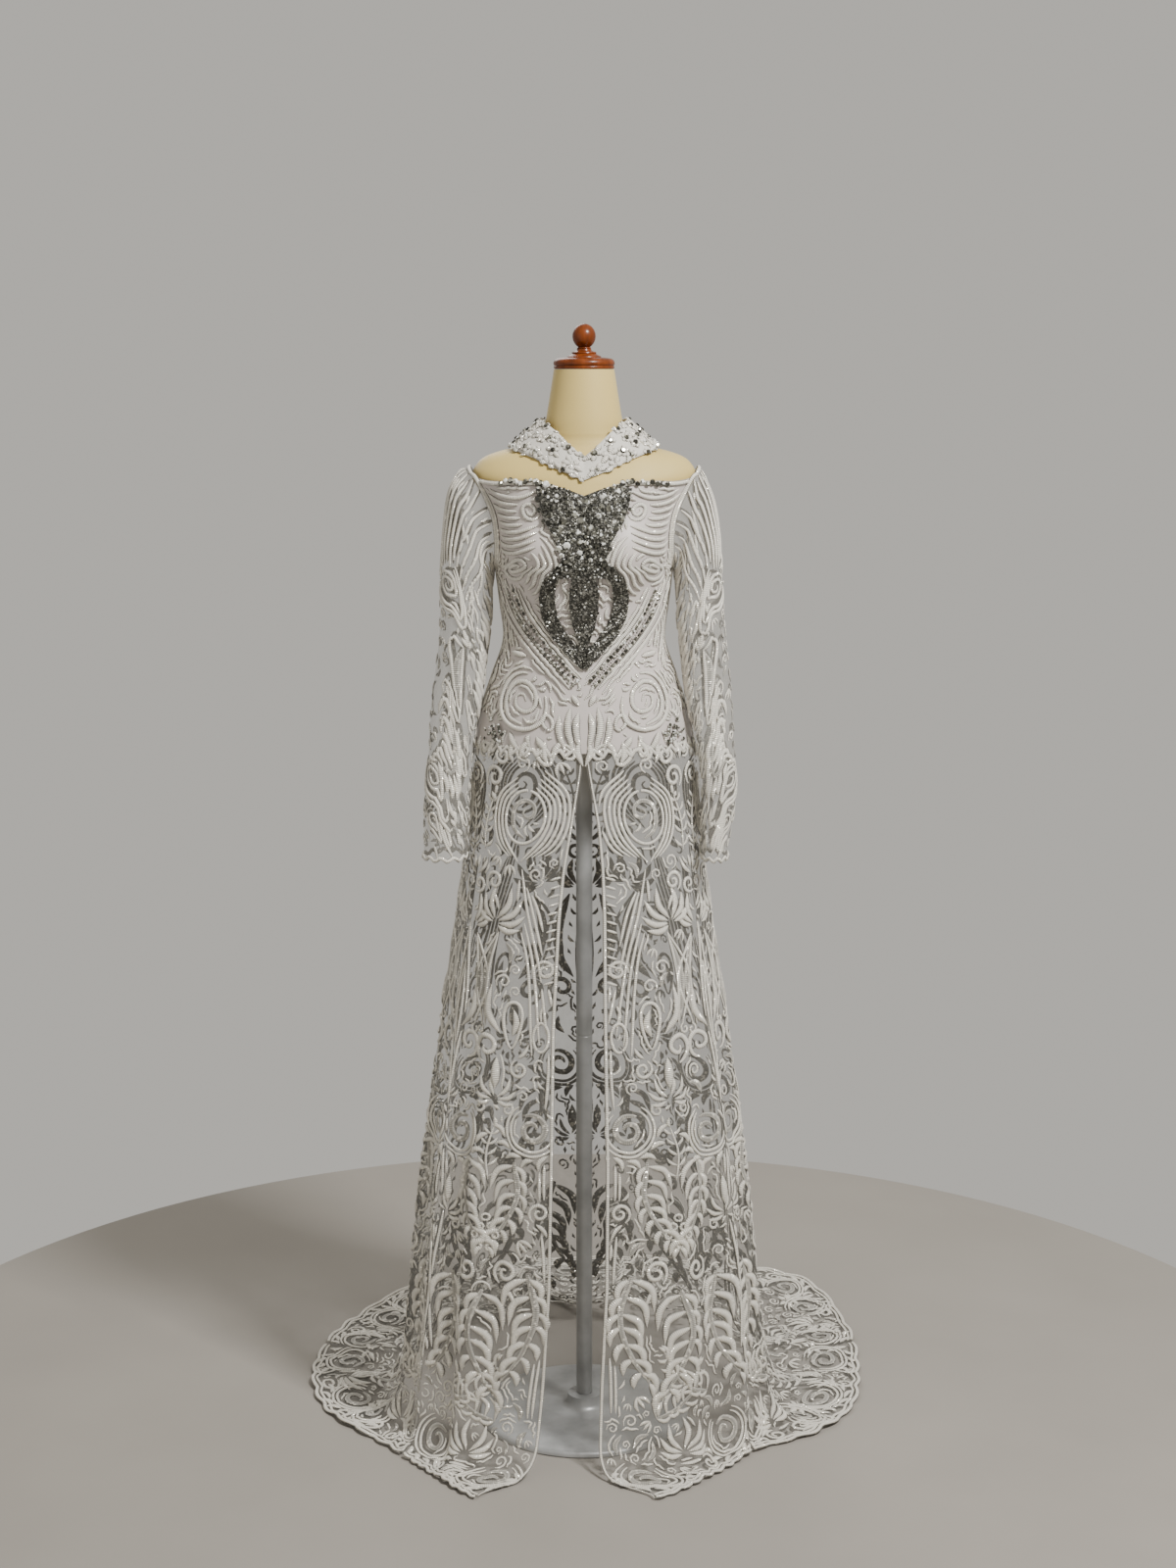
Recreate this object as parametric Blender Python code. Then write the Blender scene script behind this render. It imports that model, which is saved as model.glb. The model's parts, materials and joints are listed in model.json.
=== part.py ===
"""A long lace kebaya on a dress form.

The gown is worn by a limbless form on a pole and a round base. Its lined bodice ends at the hips,
where six sheer lace gores hang to the floor and spread into a train, open at the centre front.
Metres, +Z up, the front faces -Y, the origin is under the middle of the round base.
"""

import math

import bpy
import numpy as np

# Driving sizes
TOTAL_HEIGHT = 1.700
HIP_SEAM_HEIGHT = 1.080
UNDERARM_HEIGHT = 1.345
NECK_TOP_HEIGHT = 1.634
FORM_BOTTOM_HEIGHT = HIP_SEAM_HEIGHT
SEAM_GAP = 0.0003
PANEL_GAP = 0.0005
LYING_GAP = 0.0009
PLASTRON_GAP = 0.0016

# Cloth thicknesses
BODICE_THICKNESS = 0.0030
SKIRT_THICKNESS = 0.0020
SLEEVE_THICKNESS = 0.0020
COLLAR_THICKNESS = 0.0024
PLASTRON_THICKNESS = 0.0030
CORD_THICKNESS = 0.0030

# Stand
BASE_RADIUS = 0.165
POLE_RADIUS = 0.0125
HUB_TOP = 0.034
TURNED_SIDES = 24

COLUMN_STEP = 9.0
FORM_COLUMNS = int(360 / COLUMN_STEP)
PANEL_COLUMNS = int(90 / COLUMN_STEP)

# Rows that the bodice shares with the form, so that their facets run parallel
BODY_HEIGHTS = (
    1.080, 1.105, 1.130, 1.155, 1.180, 1.208, 1.237, 1.263, 1.290, 1.316,
    1.345, 1.352, 1.370, 1.400, 1.430,
)
SHOULDER_HEIGHTS = (
    1.452, 1.466, 1.478, 1.488, 1.496, 1.503, 1.509, 1.514, 1.519, 1.524, 1.530, 1.540, 1.558,
    1.590, NECK_TOP_HEIGHT,
)

FORM_SECTIONS = {
    "columns": ("height", "half_width", "front", "back"),
    "rows": (
        (0.985, 0.1600, 0.1120, 0.1220),
        (1.030, 0.1620, 0.1170, 0.1260),
        (1.080, 0.1605, 0.1180, 0.1270),
        (1.130, 0.1495, 0.1120, 0.1190),
        (1.180, 0.1330, 0.1030, 0.1060),
        (1.237, 0.1145, 0.0930, 0.0900),
        (1.290, 0.1195, 0.0970, 0.0900),
        (1.345, 0.1262, 0.1020, 0.0950),
        (1.400, 0.1320, 0.1010, 0.0990),
        (1.430, 0.1400, 0.0985, 0.1000),
        (1.452, 0.1510, 0.0950, 0.0990),
        (1.466, 0.1600, 0.0905, 0.0965),
        (1.478, 0.1650, 0.0860, 0.0925),
        (1.488, 0.1640, 0.0800, 0.0875),
        (1.496, 0.1590, 0.0745, 0.0825),
        (1.503, 0.1525, 0.0695, 0.0775),
        (1.509, 0.1420, 0.0650, 0.0735),
        (1.514, 0.1280, 0.0615, 0.0695),
        (1.519, 0.1080, 0.0580, 0.0655),
        (1.524, 0.0850, 0.0555, 0.0615),
        (1.530, 0.0690, 0.0540, 0.0585),
        (1.540, 0.0610, 0.0530, 0.0570),
        (1.558, 0.0570, 0.0520, 0.0550),
        (1.590, 0.0515, 0.0490, 0.0505),
        (1.634, 0.0445, 0.0445, 0.0445),
    ),
}

# Bust shape of the form: two low mounds on the front
BUST_ANGLE = 34.0
BUST_HEIGHT = 1.372
BUST_FULLNESS = 0.021
BUST_ANGLE_SPREAD = 24.0
BUST_HEIGHT_SPREAD = 0.045

# Clearance between the form and the bodice's inside
BODICE_CLEARANCE = {
    "columns": ("height", "gap"),
    "rows": ((1.080, 0.0006), (1.290, 0.0008), (1.316, 0.0012), (1.345, 0.0020), (1.500, 0.0022)),
}

# Neckline height, and the armhole's edge, as angles from the centre front
NECKLINE = {
    "columns": ("angle", "height"),
    "rows": (
        (0, 1.4530), (9, 1.4620), (20, 1.4715), (35, 1.4740), (52, 1.4735), (67, 1.4770),
        (90, 1.4900), (113, 1.4770), (135, 1.4700), (180, 1.4640),
    ),
}
ARMHOLE_EDGE = {
    "columns": ("height", "from_side"),
    "rows": ((1.345, 0), (1.352, 11.0), (1.370, 18.0), (1.400, 21.5), (1.430, 22.5), (1.480, 23.0)),
}
SHOULDER_ARC = ((15.0, 0.0060), (8.0, 0.0105))

# Sleeve rings, from the armhole to the cuff; the two sleeves differ in how far out they hang
SLEEVE_RINGS = {
    "columns": ("inner_x", "inner_z", "left_x", "right_x", "outer_z", "centre_y", "half_depth"),
    "rows": (
        (0.1345, 1.3400, 0.1850, 0.1760, 1.4850, 0.000, 0.046),
        (0.1358, 1.3340, 0.1965, 0.1835, 1.4660, -0.001, 0.049),
        (0.1362, 1.3250, 0.2030, 0.1920, 1.4400, -0.002, 0.049),
        (0.1366, 1.3120, 0.2080, 0.1990, 1.4060, -0.004, 0.048),
        (0.1378, 1.2940, 0.2120, 0.2035, 1.3600, -0.006, 0.046),
        (0.1398, 1.2660, 0.2150, 0.2070, 1.3080, -0.009, 0.044),
        (0.1430, 1.2300, 0.2175, 0.2120, 1.2540, -0.013, 0.042),
        (0.1480, 1.1850, 0.2215, 0.2165, 1.1990, -0.019, 0.040),
        (0.1550, 1.1350, 0.2275, 0.2205, 1.1420, -0.027, 0.038),
        (0.1640, 1.0800, 0.2325, 0.2255, 1.0830, -0.036, 0.037),
        (0.1700, 1.0250, 0.2370, 0.2275, 1.0260, -0.044, 0.037),
        (0.1730, 0.9750, 0.2400, 0.2235, 0.9750, -0.051, 0.037),
        (0.1740, 0.9360, 0.2410, 0.2175, 0.9360, -0.056, 0.038),
        (0.1745, 0.9130, 0.2410, 0.2150, 0.9130, -0.058, 0.038),
    ),
}
SLEEVE_SIDES = 16
ARMHOLE_GAP = 0.0007
SLEEVE_SCALLOP = 0.004

# The skirt: hanging sections, then rows that spread over the floor to the hem
SKIRT_ROWS = {
    "columns": ("height", "half_width", "front", "back", "spread"),
    "rows": (
        (1.030, 0.1695, 0.1270, 0.1380, 0.00),
        (0.975, 0.1740, 0.1320, 0.1480, 0.00),
        (0.910, 0.1805, 0.1380, 0.1590, 0.00),
        (0.840, 0.1885, 0.1445, 0.1710, 0.00),
        (0.760, 0.1990, 0.1510, 0.1840, 0.00),
        (0.670, 0.2105, 0.1580, 0.1980, 0.00),
        (0.570, 0.2225, 0.1655, 0.2140, 0.00),
        (0.470, 0.2340, 0.1730, 0.2310, 0.00),
        (0.370, 0.2445, 0.1805, 0.2480, 0.00),
        (0.280, 0.2530, 0.1870, 0.2640, 0.00),
        (0.200, 0.2600, 0.1925, 0.2790, 0.00),
        (0.130, 0.2660, 0.1970, 0.2930, 0.01),
        (0.075, 0.2700, 0.2000, 0.3030, 0.05),
        (0.035, 0.2720, 0.2015, 0.3080, 0.14),
        (0.011, 0.2730, 0.2025, 0.3100, 0.28),
        (0.000, 0.2730, 0.2030, 0.3100, 0.46),
        (0.000, 0.2730, 0.2030, 0.3100, 0.73),
        (0.000, 0.2730, 0.2030, 0.3100, 1.00),
    ),
}
HEM_RADIUS = {
    "columns": ("angle", "radius"),
    "rows": (
        (-180, 0.650), (-152, 0.600), (-130, 0.535), (-110, 0.476), (-90, 0.408), (-72, 0.338),
        (-46, 0.315), (-28, 0.335), (0, 0.330), (19, 0.316), (45, 0.292), (66, 0.310), (78, 0.372),
        (90, 0.420), (110, 0.482), (128, 0.570), (143, 0.665), (160, 0.655), (180, 0.650),
    ),
}
# Where the two front edges hang, measured sideways from the middle, and where their tips lie
SLIT_EDGES = {
    "columns": ("height", "left_x", "right_x"),
    "rows": (
        (1.080, -0.0004, 0.0004), (1.050, -0.0030, 0.0050), (0.975, -0.0150, 0.0180),
        (0.910, -0.0260, 0.0240), (0.840, -0.0330, 0.0265), (0.670, -0.0420, 0.0280),
        (0.470, -0.0450, 0.0310), (0.280, -0.0480, 0.0300), (0.130, -0.0580, 0.0230),
        (0.035, -0.0660, 0.0200), (0.000, -0.0700, 0.0200),
    ),
}
LEFT_TIP_ANGLE = -27.5
RIGHT_TIP_ANGLE = 18.5
HEM_SCALLOP = 0.005

# Flutes of the skirt, which run out over the floor as ridges of the train
FLUTES = {
    "columns": ("angle", "spread", "depth"),
    "rows": (
        (-168, 6.0, 0.017), (-146, 6.5, 0.021), (-124, 6.0, 0.016), (-103, 5.5, 0.019),
        (-82, 5.0, 0.015), (-61, 5.5, 0.012), (-40, 5.0, 0.013), (37, 5.0, 0.010),
        (58, 5.5, 0.015), (80, 5.0, 0.013), (101, 5.5, 0.018), (123, 6.0, 0.017),
        (147, 6.5, 0.022), (170, 6.0, 0.018),
    ),
}
FLUTE_TOP = 1.020
FLUTE_FULL = 0.240
RIDGE_SHARE = 0.62
RIDGE_AT_HEM = 0.35

# Gores of the skirt, by the angles of their seams, and the facet columns across each
GORES = {
    "columns": ("name", "start", "end", "facets"),
    "rows": (
        ("skirt_back_left", -180, -120, 12),
        ("skirt_side_left", -120, -60, 12),
        ("skirt_front_left", -60, None, 9),
        ("skirt_front_right", None, 60, 9),
        ("skirt_side_right", 60, 120, 12),
        ("skirt_back_right", 120, 180, 12),
    ),
}

# Collar: a band that lies on the base of the neck and stands away from it at the sides
COLLAR_LOWER = {
    "columns": ("angle", "height"),
    "rows": (
        (0, 1.4745), (12, 1.4880), (25, 1.5020), (38, 1.5100), (60, 1.5165), (90, 1.5190),
        (130, 1.5150), (180, 1.5030),
    ),
}
COLLAR_UPPER = {
    "columns": ("angle", "x", "y", "height"),
    "rows": (
        (0, 0.0000, -0.0690, 1.5070), (12, 0.0180, -0.0665, 1.5230), (25, 0.0350, -0.0570, 1.5400),
        (40, 0.0475, -0.0440, 1.5500), (60, 0.0570, -0.0270, 1.5560), (90, 0.0625, 0.0020, 1.5600),
        (130, 0.0510, 0.0430, 1.5590), (180, 0.0000, 0.0660, 1.5570),
    ),
}
COLLAR_FACETS = 36
COLLAR_ROWS = 4
COLLAR_BULGE = 0.0006
COLLAR_SCALLOP = 0.0025
COLLAR_FLOWER_RISE = 0.0022
COLLAR_BACK_OPENING = 4.0

# Beaded plastron: a solid top, then a heart-shaped frame round a sprig, with a window on each side.
# outer and inner are the arm's edges, sideways from the middle, and windowed rows leave out a cell below
PLASTRON_ROWS = {
    "columns": ("height", "outer", "inner", "windowed"),
    "rows": (
        (1.4620, 0.0690, 0.0230, False), (1.4510, 0.0665, 0.0230, False),
        (1.4400, 0.0640, 0.0220, False), (1.4270, 0.0605, 0.0210, False),
        (1.4130, 0.0555, 0.0200, False), (1.4000, 0.0475, 0.0180, False),
        (1.3870, 0.0405, 0.0160, False), (1.3740, 0.0345, 0.0140, False),
        (1.3620, 0.0330, 0.0180, False), (1.3500, 0.0450, 0.0300, False),
        (1.3380, 0.0550, 0.0370, True), (1.3240, 0.0610, 0.0410, True),
        (1.3100, 0.0630, 0.0420, True), (1.2950, 0.0628, 0.0415, True),
        (1.2800, 0.0600, 0.0380, True), (1.2650, 0.0545, 0.0315, True),
        (1.2500, 0.0465, 0.0215, True), (1.2370, 0.0365, 0.0120, False),
        (1.2240, 0.0260, 0.0050, False), (1.2120, 0.0150, 0.0030, False),
        (1.2020, 0.0050, 0.0015, False),
    ),
}
PLASTRON_ARM_COLUMNS = 2
PLASTRON_MIDDLE_COLUMNS = 4
CRYSTAL_RISE = 0.0022

# Corded applique on the lined bodice: angles from the centre front (0) or the centre back (180)
SCROLLS = {
    "columns": (
        "name", "centre", "angle", "height", "outer_radius", "inner_radius", "turns", "start", "lift",
    ),
    "rows": (
        ("hip_scroll_left", 0, -39.0, 1.1620, 0.0330, 0.0090, -1.75, 60, 0.0009),
        ("hip_scroll_right", 0, 39.0, 1.1620, 0.0330, 0.0090, 1.75, 120, 0.0009),
        ("bust_scroll_left", 0, -49.0, 1.3580, 0.0330, 0.0100, 1.60, -60, 0.0015),
        ("bust_scroll_right", 0, 49.0, 1.3580, 0.0330, 0.0100, -1.60, 240, 0.0015),
        ("hip_scroll_back_left", 180, -39.0, 1.1620, 0.0330, 0.0090, -1.75, 60, 0.0009),
        ("hip_scroll_back_right", 180, 39.0, 1.1620, 0.0330, 0.0090, 1.75, 120, 0.0009),
    ),
}
SCROLL_WIDTH = 0.0062
SCROLL_STRETCH = 1.12
SCROLL_POINTS = 34
STONE_BAND = {
    "columns": ("x", "height"),
    "rows": (
        (0.1060, 1.3130), (0.0940, 1.2830), (0.0770, 1.2550), (0.0560, 1.2290), (0.0350, 1.2060),
        (0.0120, 1.1800),
    ),
}
STONE_BAND_WIDTH = 0.0100
STONE_BAND_POINTS = 22

MATERIALS = {
    "ivory_lace": ((0.86, 0.84, 0.80), 0.62, 0.0),
    "sheer_lace": ((0.80, 0.79, 0.76), 0.70, 0.0),
    "silver_stone": ((0.42, 0.42, 0.40), 0.22, 0.85),
    "form_cover": ((0.78, 0.69, 0.47), 0.68, 0.0),
    "varnished_wood": ((0.36, 0.10, 0.03), 0.20, 0.0),
    "grey_steel": ((0.30, 0.30, 0.31), 0.38, 0.8),
}


def column(table, name, kind=float):
    """One named column of a table, as an array."""
    index = table["columns"].index(name)
    return np.array([row[index] for row in table["rows"]], kind)


def smooth(table, key, name, at):
    """A smooth curve through a table's points, read at one key or at an array of keys."""
    keys, values = column(table, key), column(table, name)
    slopes = np.gradient(values, keys)
    at = np.clip(np.asarray(at, float), keys[0], keys[-1])
    low = np.clip(np.searchsorted(keys, at, side="right") - 1, 0, len(keys) - 2)
    span = keys[low + 1] - keys[low]
    t = (at - keys[low]) / span
    return (
        (2 * t**3 - 3 * t**2 + 1) * values[low]
        + (t**3 - 2 * t**2 + t) * span * slopes[low]
        + (3 * t**2 - 2 * t**3) * values[low + 1]
        + (t**3 - t**2) * span * slopes[low + 1]
    )


def smooth_step(value):
    """0 below 0, 1 above 1 and an S-curve between."""
    t = np.clip(value, 0.0, 1.0)
    return t * t * (3 - 2 * t)


def oval(angle, half_width, front, back):
    """Plan of an oval with its own depth at the front and at the back; angle 0 is the front."""
    turn = np.radians(angle)
    depth = np.where(np.cos(turn) > 0, front, back)
    return half_width * np.sin(turn), -depth * np.cos(turn)


def unit(vectors):
    """The same directions at length 1."""
    return vectors / np.linalg.norm(vectors, axis=-1, keepdims=True)


def form_point(angle, height):
    """A point on the dress form's surface."""
    angle, height = np.broadcast_arrays(np.asarray(angle, float), np.asarray(height, float))
    half_width = smooth(FORM_SECTIONS, "height", "half_width", height)
    front = smooth(FORM_SECTIONS, "height", "front", height)
    back = smooth(FORM_SECTIONS, "height", "back", height)
    aside = (np.abs(angle) - BUST_ANGLE) / BUST_ANGLE_SPREAD
    above = (height - BUST_HEIGHT) / BUST_HEIGHT_SPREAD
    mound = 1 + BUST_FULLNESS / 0.10 * np.exp(-(aside**2) - above**2)
    x, y = oval(angle, half_width * (1 + (mound - 1) * 0.35), front * mound, back)
    return np.stack([x, y, height], axis=-1)


def form_normal(angle, height):
    """Outward direction of the form's surface."""
    step_angle, step_height = 0.5, 0.002
    along = form_point(angle + step_angle, height) - form_point(angle - step_angle, height)
    lowest = FORM_SECTIONS["rows"][0][0]
    low = np.clip(height - step_height, lowest, NECK_TOP_HEIGHT)
    high = np.clip(height + step_height, lowest, NECK_TOP_HEIGHT)
    up = form_point(angle, high) - form_point(angle, low)
    return unit(np.cross(along, up))


def lifted(angle, height, lift):
    """A point at a stated distance from the form."""
    lift = np.broadcast_to(np.asarray(lift, float), np.broadcast(angle, height).shape)
    return form_point(angle, height) + form_normal(angle, height) * lift[..., None]


def bodice_lift(height, share):
    """Distance of the bodice's wall from the form: share 0 is its inside, 1 its outside."""
    gap = np.interp(height, column(BODICE_CLEARANCE, "height"), column(BODICE_CLEARANCE, "gap"))
    return gap + share * BODICE_THICKNESS


def armhole_angle(height):
    """How far the armhole's edge lies from the side seam, in degrees."""
    return smooth(ARMHOLE_EDGE, "height", "from_side", height)


def on_bodice(centre, turn, height, above):
    """A point above the bodice's facets, read between the panel's own corners.

    turn is the angle from the centre front (0) or the centre back (180).
    """
    way = np.where(turn < 0, -1.0, 1.0)

    def place(angle, at, lift):
        return lifted(angle if centre == 0 else centre - angle, at, lift)

    rows = np.array(BODY_HEIGHTS)
    low = np.clip(np.searchsorted(rows, height, side="right") - 1, 0, len(rows) - 2)
    up = np.clip((height - rows[low]) / (rows[low + 1] - rows[low]), 0, 1)
    width_low, width_high = 90 - armhole_angle(rows[low]), 90 - armhole_angle(rows[low + 1])
    share = np.abs(turn) / (width_low * (1 - up) + width_high * up) * PANEL_COLUMNS
    left = np.minimum(np.floor(share), PANEL_COLUMNS - 1)
    across = (share - left)[..., None]

    def corner(step_column, step_row):
        width = width_high if step_row else width_low
        angle = way * (left + step_column) / PANEL_COLUMNS * width
        return place(angle, rows[low + step_row], bodice_lift(rows[low + step_row], 1.0) + above)

    lower = corner(0, 0) * (1 - across) + corner(1, 0) * across
    upper = corner(0, 1) * (1 - across) + corner(1, 1) * across
    flat = lower * (1 - up[..., None]) + upper * up[..., None]
    high = place(turn, height, bodice_lift(height, 1.0) + above + SEAM_GAP)
    return np.where((height > rows[-1])[..., None], high, flat)


def make_material(name):
    """A Principled material from the table above."""
    colour, roughness, metallic = MATERIALS[name]
    material = bpy.data.materials.new(name)
    material.use_nodes = True
    shader = material.node_tree.nodes["Principled BSDF"]
    shader.inputs["Base Color"].default_value = (*colour, 1.0)
    shader.inputs["Roughness"].default_value = roughness
    shader.inputs["Metallic"].default_value = metallic
    return material


def signed_volume(points, faces):
    """Positive when the faces point outwards."""
    total = 0.0
    for face in faces:
        for second, third in zip(face[1:-1], face[2:]):
            total += np.dot(points[face[0]], np.cross(points[second], points[third]))
    return total / 6


def new_piece(name, points, faces, material, smooth_angle=40):
    """A named closed solid with its faces turned outwards."""
    points = np.asarray(points, float).reshape(-1, 3)
    if signed_volume(points, faces) < 0:
        faces = [tuple(reversed(face)) for face in faces]
    mesh = bpy.data.meshes.new(name)
    mesh.from_pydata(points.tolist(), [], faces)
    mesh.materials.append(bpy.data.materials.get(material) or make_material(material))
    mesh.shade_smooth()
    mesh.set_sharp_from_angle(angle=math.radians(smooth_angle))
    piece = bpy.data.objects.new(name, mesh)
    bpy.context.scene.collection.objects.link(piece)
    return piece


def wall(name, outer, inner, material, cells=None, around=False):
    """A cloth wall between two grids of points, with its rims closed.

    cells says which cells of the grid are cloth, and around joins the last column to the first.
    """
    rows, columns = outer.shape[:2]
    columns_of_cells = columns if around else columns - 1
    if cells is None:
        cells = np.ones((rows - 1, columns_of_cells), bool)
    points = np.concatenate([outer.reshape(-1, 3), inner.reshape(-1, 3)])
    inside = rows * columns
    faces = []
    edges = {}
    for i, j in np.argwhere(cells):
        following = (j + 1) % columns
        a, b = i * columns + j, i * columns + following
        c, d = (i + 1) * columns + following, (i + 1) * columns + j
        faces.append((a, b, c, d))
        faces.append((d + inside, c + inside, b + inside, a + inside))
        for start, end in ((a, b), (b, c), (c, d), (d, a)):
            edges[(start, end)] = True
    for start, end in edges:
        if (end, start) in edges:
            continue
        # Both rims of a seam are split along the same diagonal, so that they stay parallel
        if start < end:
            faces += [(end, start, start + inside), (end, start + inside, end + inside)]
        else:
            faces += [(end, start, end + inside), (start, start + inside, end + inside)]
    used = sorted({corner for face in faces for corner in face})
    renamed = {old: new for new, old in enumerate(used)}
    faces = [tuple(int(renamed[corner]) for corner in face) for face in faces]
    return new_piece(name, points[used], faces, material)


def turned(name, profile, material):
    """A solid turned about the vertical axis, from a profile of (radius, height) that starts and ends on it."""
    angles = np.arange(TURNED_SIDES) * 2 * math.pi / TURNED_SIDES
    rings = [
        np.stack([radius * np.sin(angles), -radius * np.cos(angles), np.full(TURNED_SIDES, height)], -1)
        for radius, height in profile
    ]
    return lofted(name, rings, material)


def lofted(name, rings, material):
    """A closed solid through equal rings of points, with flat ends."""
    count = len(rings[0])
    faces = [tuple(range(count))[::-1]]
    for row in range(len(rings) - 1):
        for corner in range(count):
            following = (corner + 1) % count
            low, high = row * count, (row + 1) * count
            faces.append((low + corner, low + following, high + following, high + corner))
    faces.append(tuple(range((len(rings) - 1) * count, len(rings) * count)))
    return new_piece(name, np.concatenate(rings), faces, material)


def build_form():
    """The covered torso with its neck."""
    angles = np.arange(FORM_COLUMNS) * COLUMN_STEP - 180
    heights = BODY_HEIGHTS + SHOULDER_HEIGHTS
    rings = [form_point(angles, np.full(FORM_COLUMNS, height)) for height in heights]
    lofted("form_body", rings, "form_cover")


def build_cap():
    """The turned wooden cap on the neck, and the knob on it."""
    rim = NECK_TOP_HEIGHT + SEAM_GAP
    stem_top = rim + 0.0290
    turned(
        "neck_cap",
        (
            (0.0430, rim), (0.0447, rim + 0.003), (0.0452, rim + 0.008), (0.0440, rim + 0.0125),
            (0.0395, rim + 0.0155), (0.0230, rim + 0.0185), (0.0165, rim + 0.0220),
            (0.0115, rim + 0.0270), (0.0105, stem_top),
        ),
        "varnished_wood",
    )
    foot = stem_top + SEAM_GAP
    knob_radius = (TOTAL_HEIGHT - foot) / 2
    middle = foot + knob_radius
    profile = []
    for step in range(1, 10):
        turn = math.pi * step / 10
        profile.append((0.0172 * math.sin(turn), middle - knob_radius * math.cos(turn)))
    profile[0] = (0.0085, foot)
    profile[-1] = (0.0045, TOTAL_HEIGHT)
    turned("finial_knob", profile, "varnished_wood")


def build_stand():
    """The round base and the pole that carries the form."""
    turned(
        "stand_base",
        (
            (BASE_RADIUS, 0.0), (BASE_RADIUS, 0.006), (BASE_RADIUS - 0.006, 0.010),
            (0.034, 0.014), (0.028, 0.020), (0.026, HUB_TOP),
        ),
        "grey_steel",
    )
    foot, top = HUB_TOP + SEAM_GAP, FORM_BOTTOM_HEIGHT - SEAM_GAP
    turned("stand_pole", ((POLE_RADIUS, foot), (POLE_RADIUS, top)), "grey_steel")


def build_bodice():
    """Four lined lace panels: two fronts that meet in the middle, and two backs."""
    for name, middle, side in (
        ("bodice_front_left", 0, -90), ("bodice_front_right", 0, 90),
        ("bodice_back_left", -180, -90), ("bodice_back_right", 180, 90),
    ):
        way = math.copysign(1, side - middle)
        shares = np.linspace(0, 1, PANEL_COLUMNS + 1)
        outer, inner = [], []
        for row, height in enumerate(BODY_HEIGHTS + ("halfway", "neckline")):
            last = armhole_angle(BODY_HEIGHTS[-1] if row >= len(BODY_HEIGHTS) else height)
            angles = middle + way * shares * (90 - last)
            if row < len(BODY_HEIGHTS):
                heights = np.full(len(shares), height)
            else:
                top = smooth(NECKLINE, "angle", "height", np.abs(angles))
                part = 0.5 if height == "halfway" else 1.0
                heights = BODY_HEIGHTS[-1] + (top - BODY_HEIGHTS[-1]) * part
            heights = heights + (SEAM_GAP if row == 0 else 0.0)
            radius = np.hypot(*form_point(angles, heights)[:, :2].T)
            trim = np.degrees(PANEL_GAP / 2 / radius) * way
            angles = angles + np.where(shares == 0, trim, 0) - np.where(shares == 1, trim, 0)
            outer.append(lifted(angles, heights, bodice_lift(heights, 1.0)))
            inner.append(lifted(angles, heights, bodice_lift(heights, 0.0)))
        wall(name, np.array(outer), np.array(inner), "ivory_lace")


def armhole_loop():
    """Angles and heights round the armhole, from the underarm up the front, over the shoulder and down the back."""
    rising = [(armhole_angle(height), height) for height in (1.345, 1.352, 1.370, 1.400, 1.430)]
    corner = smooth(NECKLINE, "angle", "height", 90 - armhole_angle(1.430))
    top = smooth(NECKLINE, "angle", "height", 90)
    rising.append((armhole_angle(1.430), corner))
    rising += [(from_side, corner + rise) for from_side, rise in SHOULDER_ARC]
    front = [(90 - from_side, height) for from_side, height in rising]
    back = [(90 + from_side, height) for from_side, height in reversed(rising[1:])]
    loop = np.array(front + [(90.0, top)] + back, float)
    return loop[:, 0], loop[:, 1]


def sleeve_rings(side):
    """Outer and inner rings of a sleeve; side is 1 for the right of the picture and -1 for the left."""
    angles, heights = armhole_loop()
    lift = bodice_lift(heights, 1.0) + ARMHOLE_GAP
    edge = lifted(angles, heights, lift)
    normal = form_normal(angles, heights)
    along = np.roll(edge, -1, 0) - np.roll(edge, 1, 0)
    outward = unit(np.cross(normal, along))
    if np.mean(np.sum(outward * (edge - edge.mean(0)), axis=1)) < 0:
        outward = -outward
    outer, inner = [edge + outward * SLEEVE_THICKNESS], [edge]
    turn = np.arange(SLEEVE_SIDES) * 2 * math.pi / SLEEVE_SIDES
    names = SLEEVE_RINGS["columns"]
    for number, row in enumerate(SLEEVE_RINGS["rows"]):
        ring = dict(zip(names, row))
        near = np.array([ring["inner_x"], ring["centre_y"], ring["inner_z"]])
        far = np.array([ring["left_x" if side < 0 else "right_x"], ring["centre_y"], ring["outer_z"]])
        half = (far - near) / 2
        length = np.linalg.norm(half)
        depth = np.array([0.0, -ring["half_depth"], 0.0])
        hem = SLEEVE_SCALLOP if number == len(SLEEVE_RINGS["rows"]) - 1 else 0.0
        for rings, less in ((outer, 0.0), (inner, SLEEVE_THICKNESS)):
            across = -np.cos(turn)[:, None] * half * (1 - less / length)
            deep = np.sin(turn)[:, None] * depth * (1 - less / ring["half_depth"])
            ring_points = (near + far) / 2 + across + deep
            ring_points[:, 2] += hem * np.cos(turn * SLEEVE_SIDES / 2)
            rings.append(ring_points)
    mirror = np.array([side, 1.0, 1.0])
    return np.array(outer) * mirror, np.array(inner) * mirror


def build_sleeves():
    """Two empty sleeves that hang from the armholes."""
    for name, side in (("sleeve_left", -1), ("sleeve_right", 1)):
        outer, inner = sleeve_rings(side)
        wall(name, outer, inner, "sheer_lace", around=True)


def flutes(angle):
    """Depth of the skirt's folds at each angle."""
    total = np.zeros_like(np.asarray(angle, float))
    for centre, spread, depth in FLUTES["rows"]:
        away = (angle - centre + 180) % 360 - 180
        total += depth * np.exp(-((away / spread) ** 2))
    return total


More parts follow.
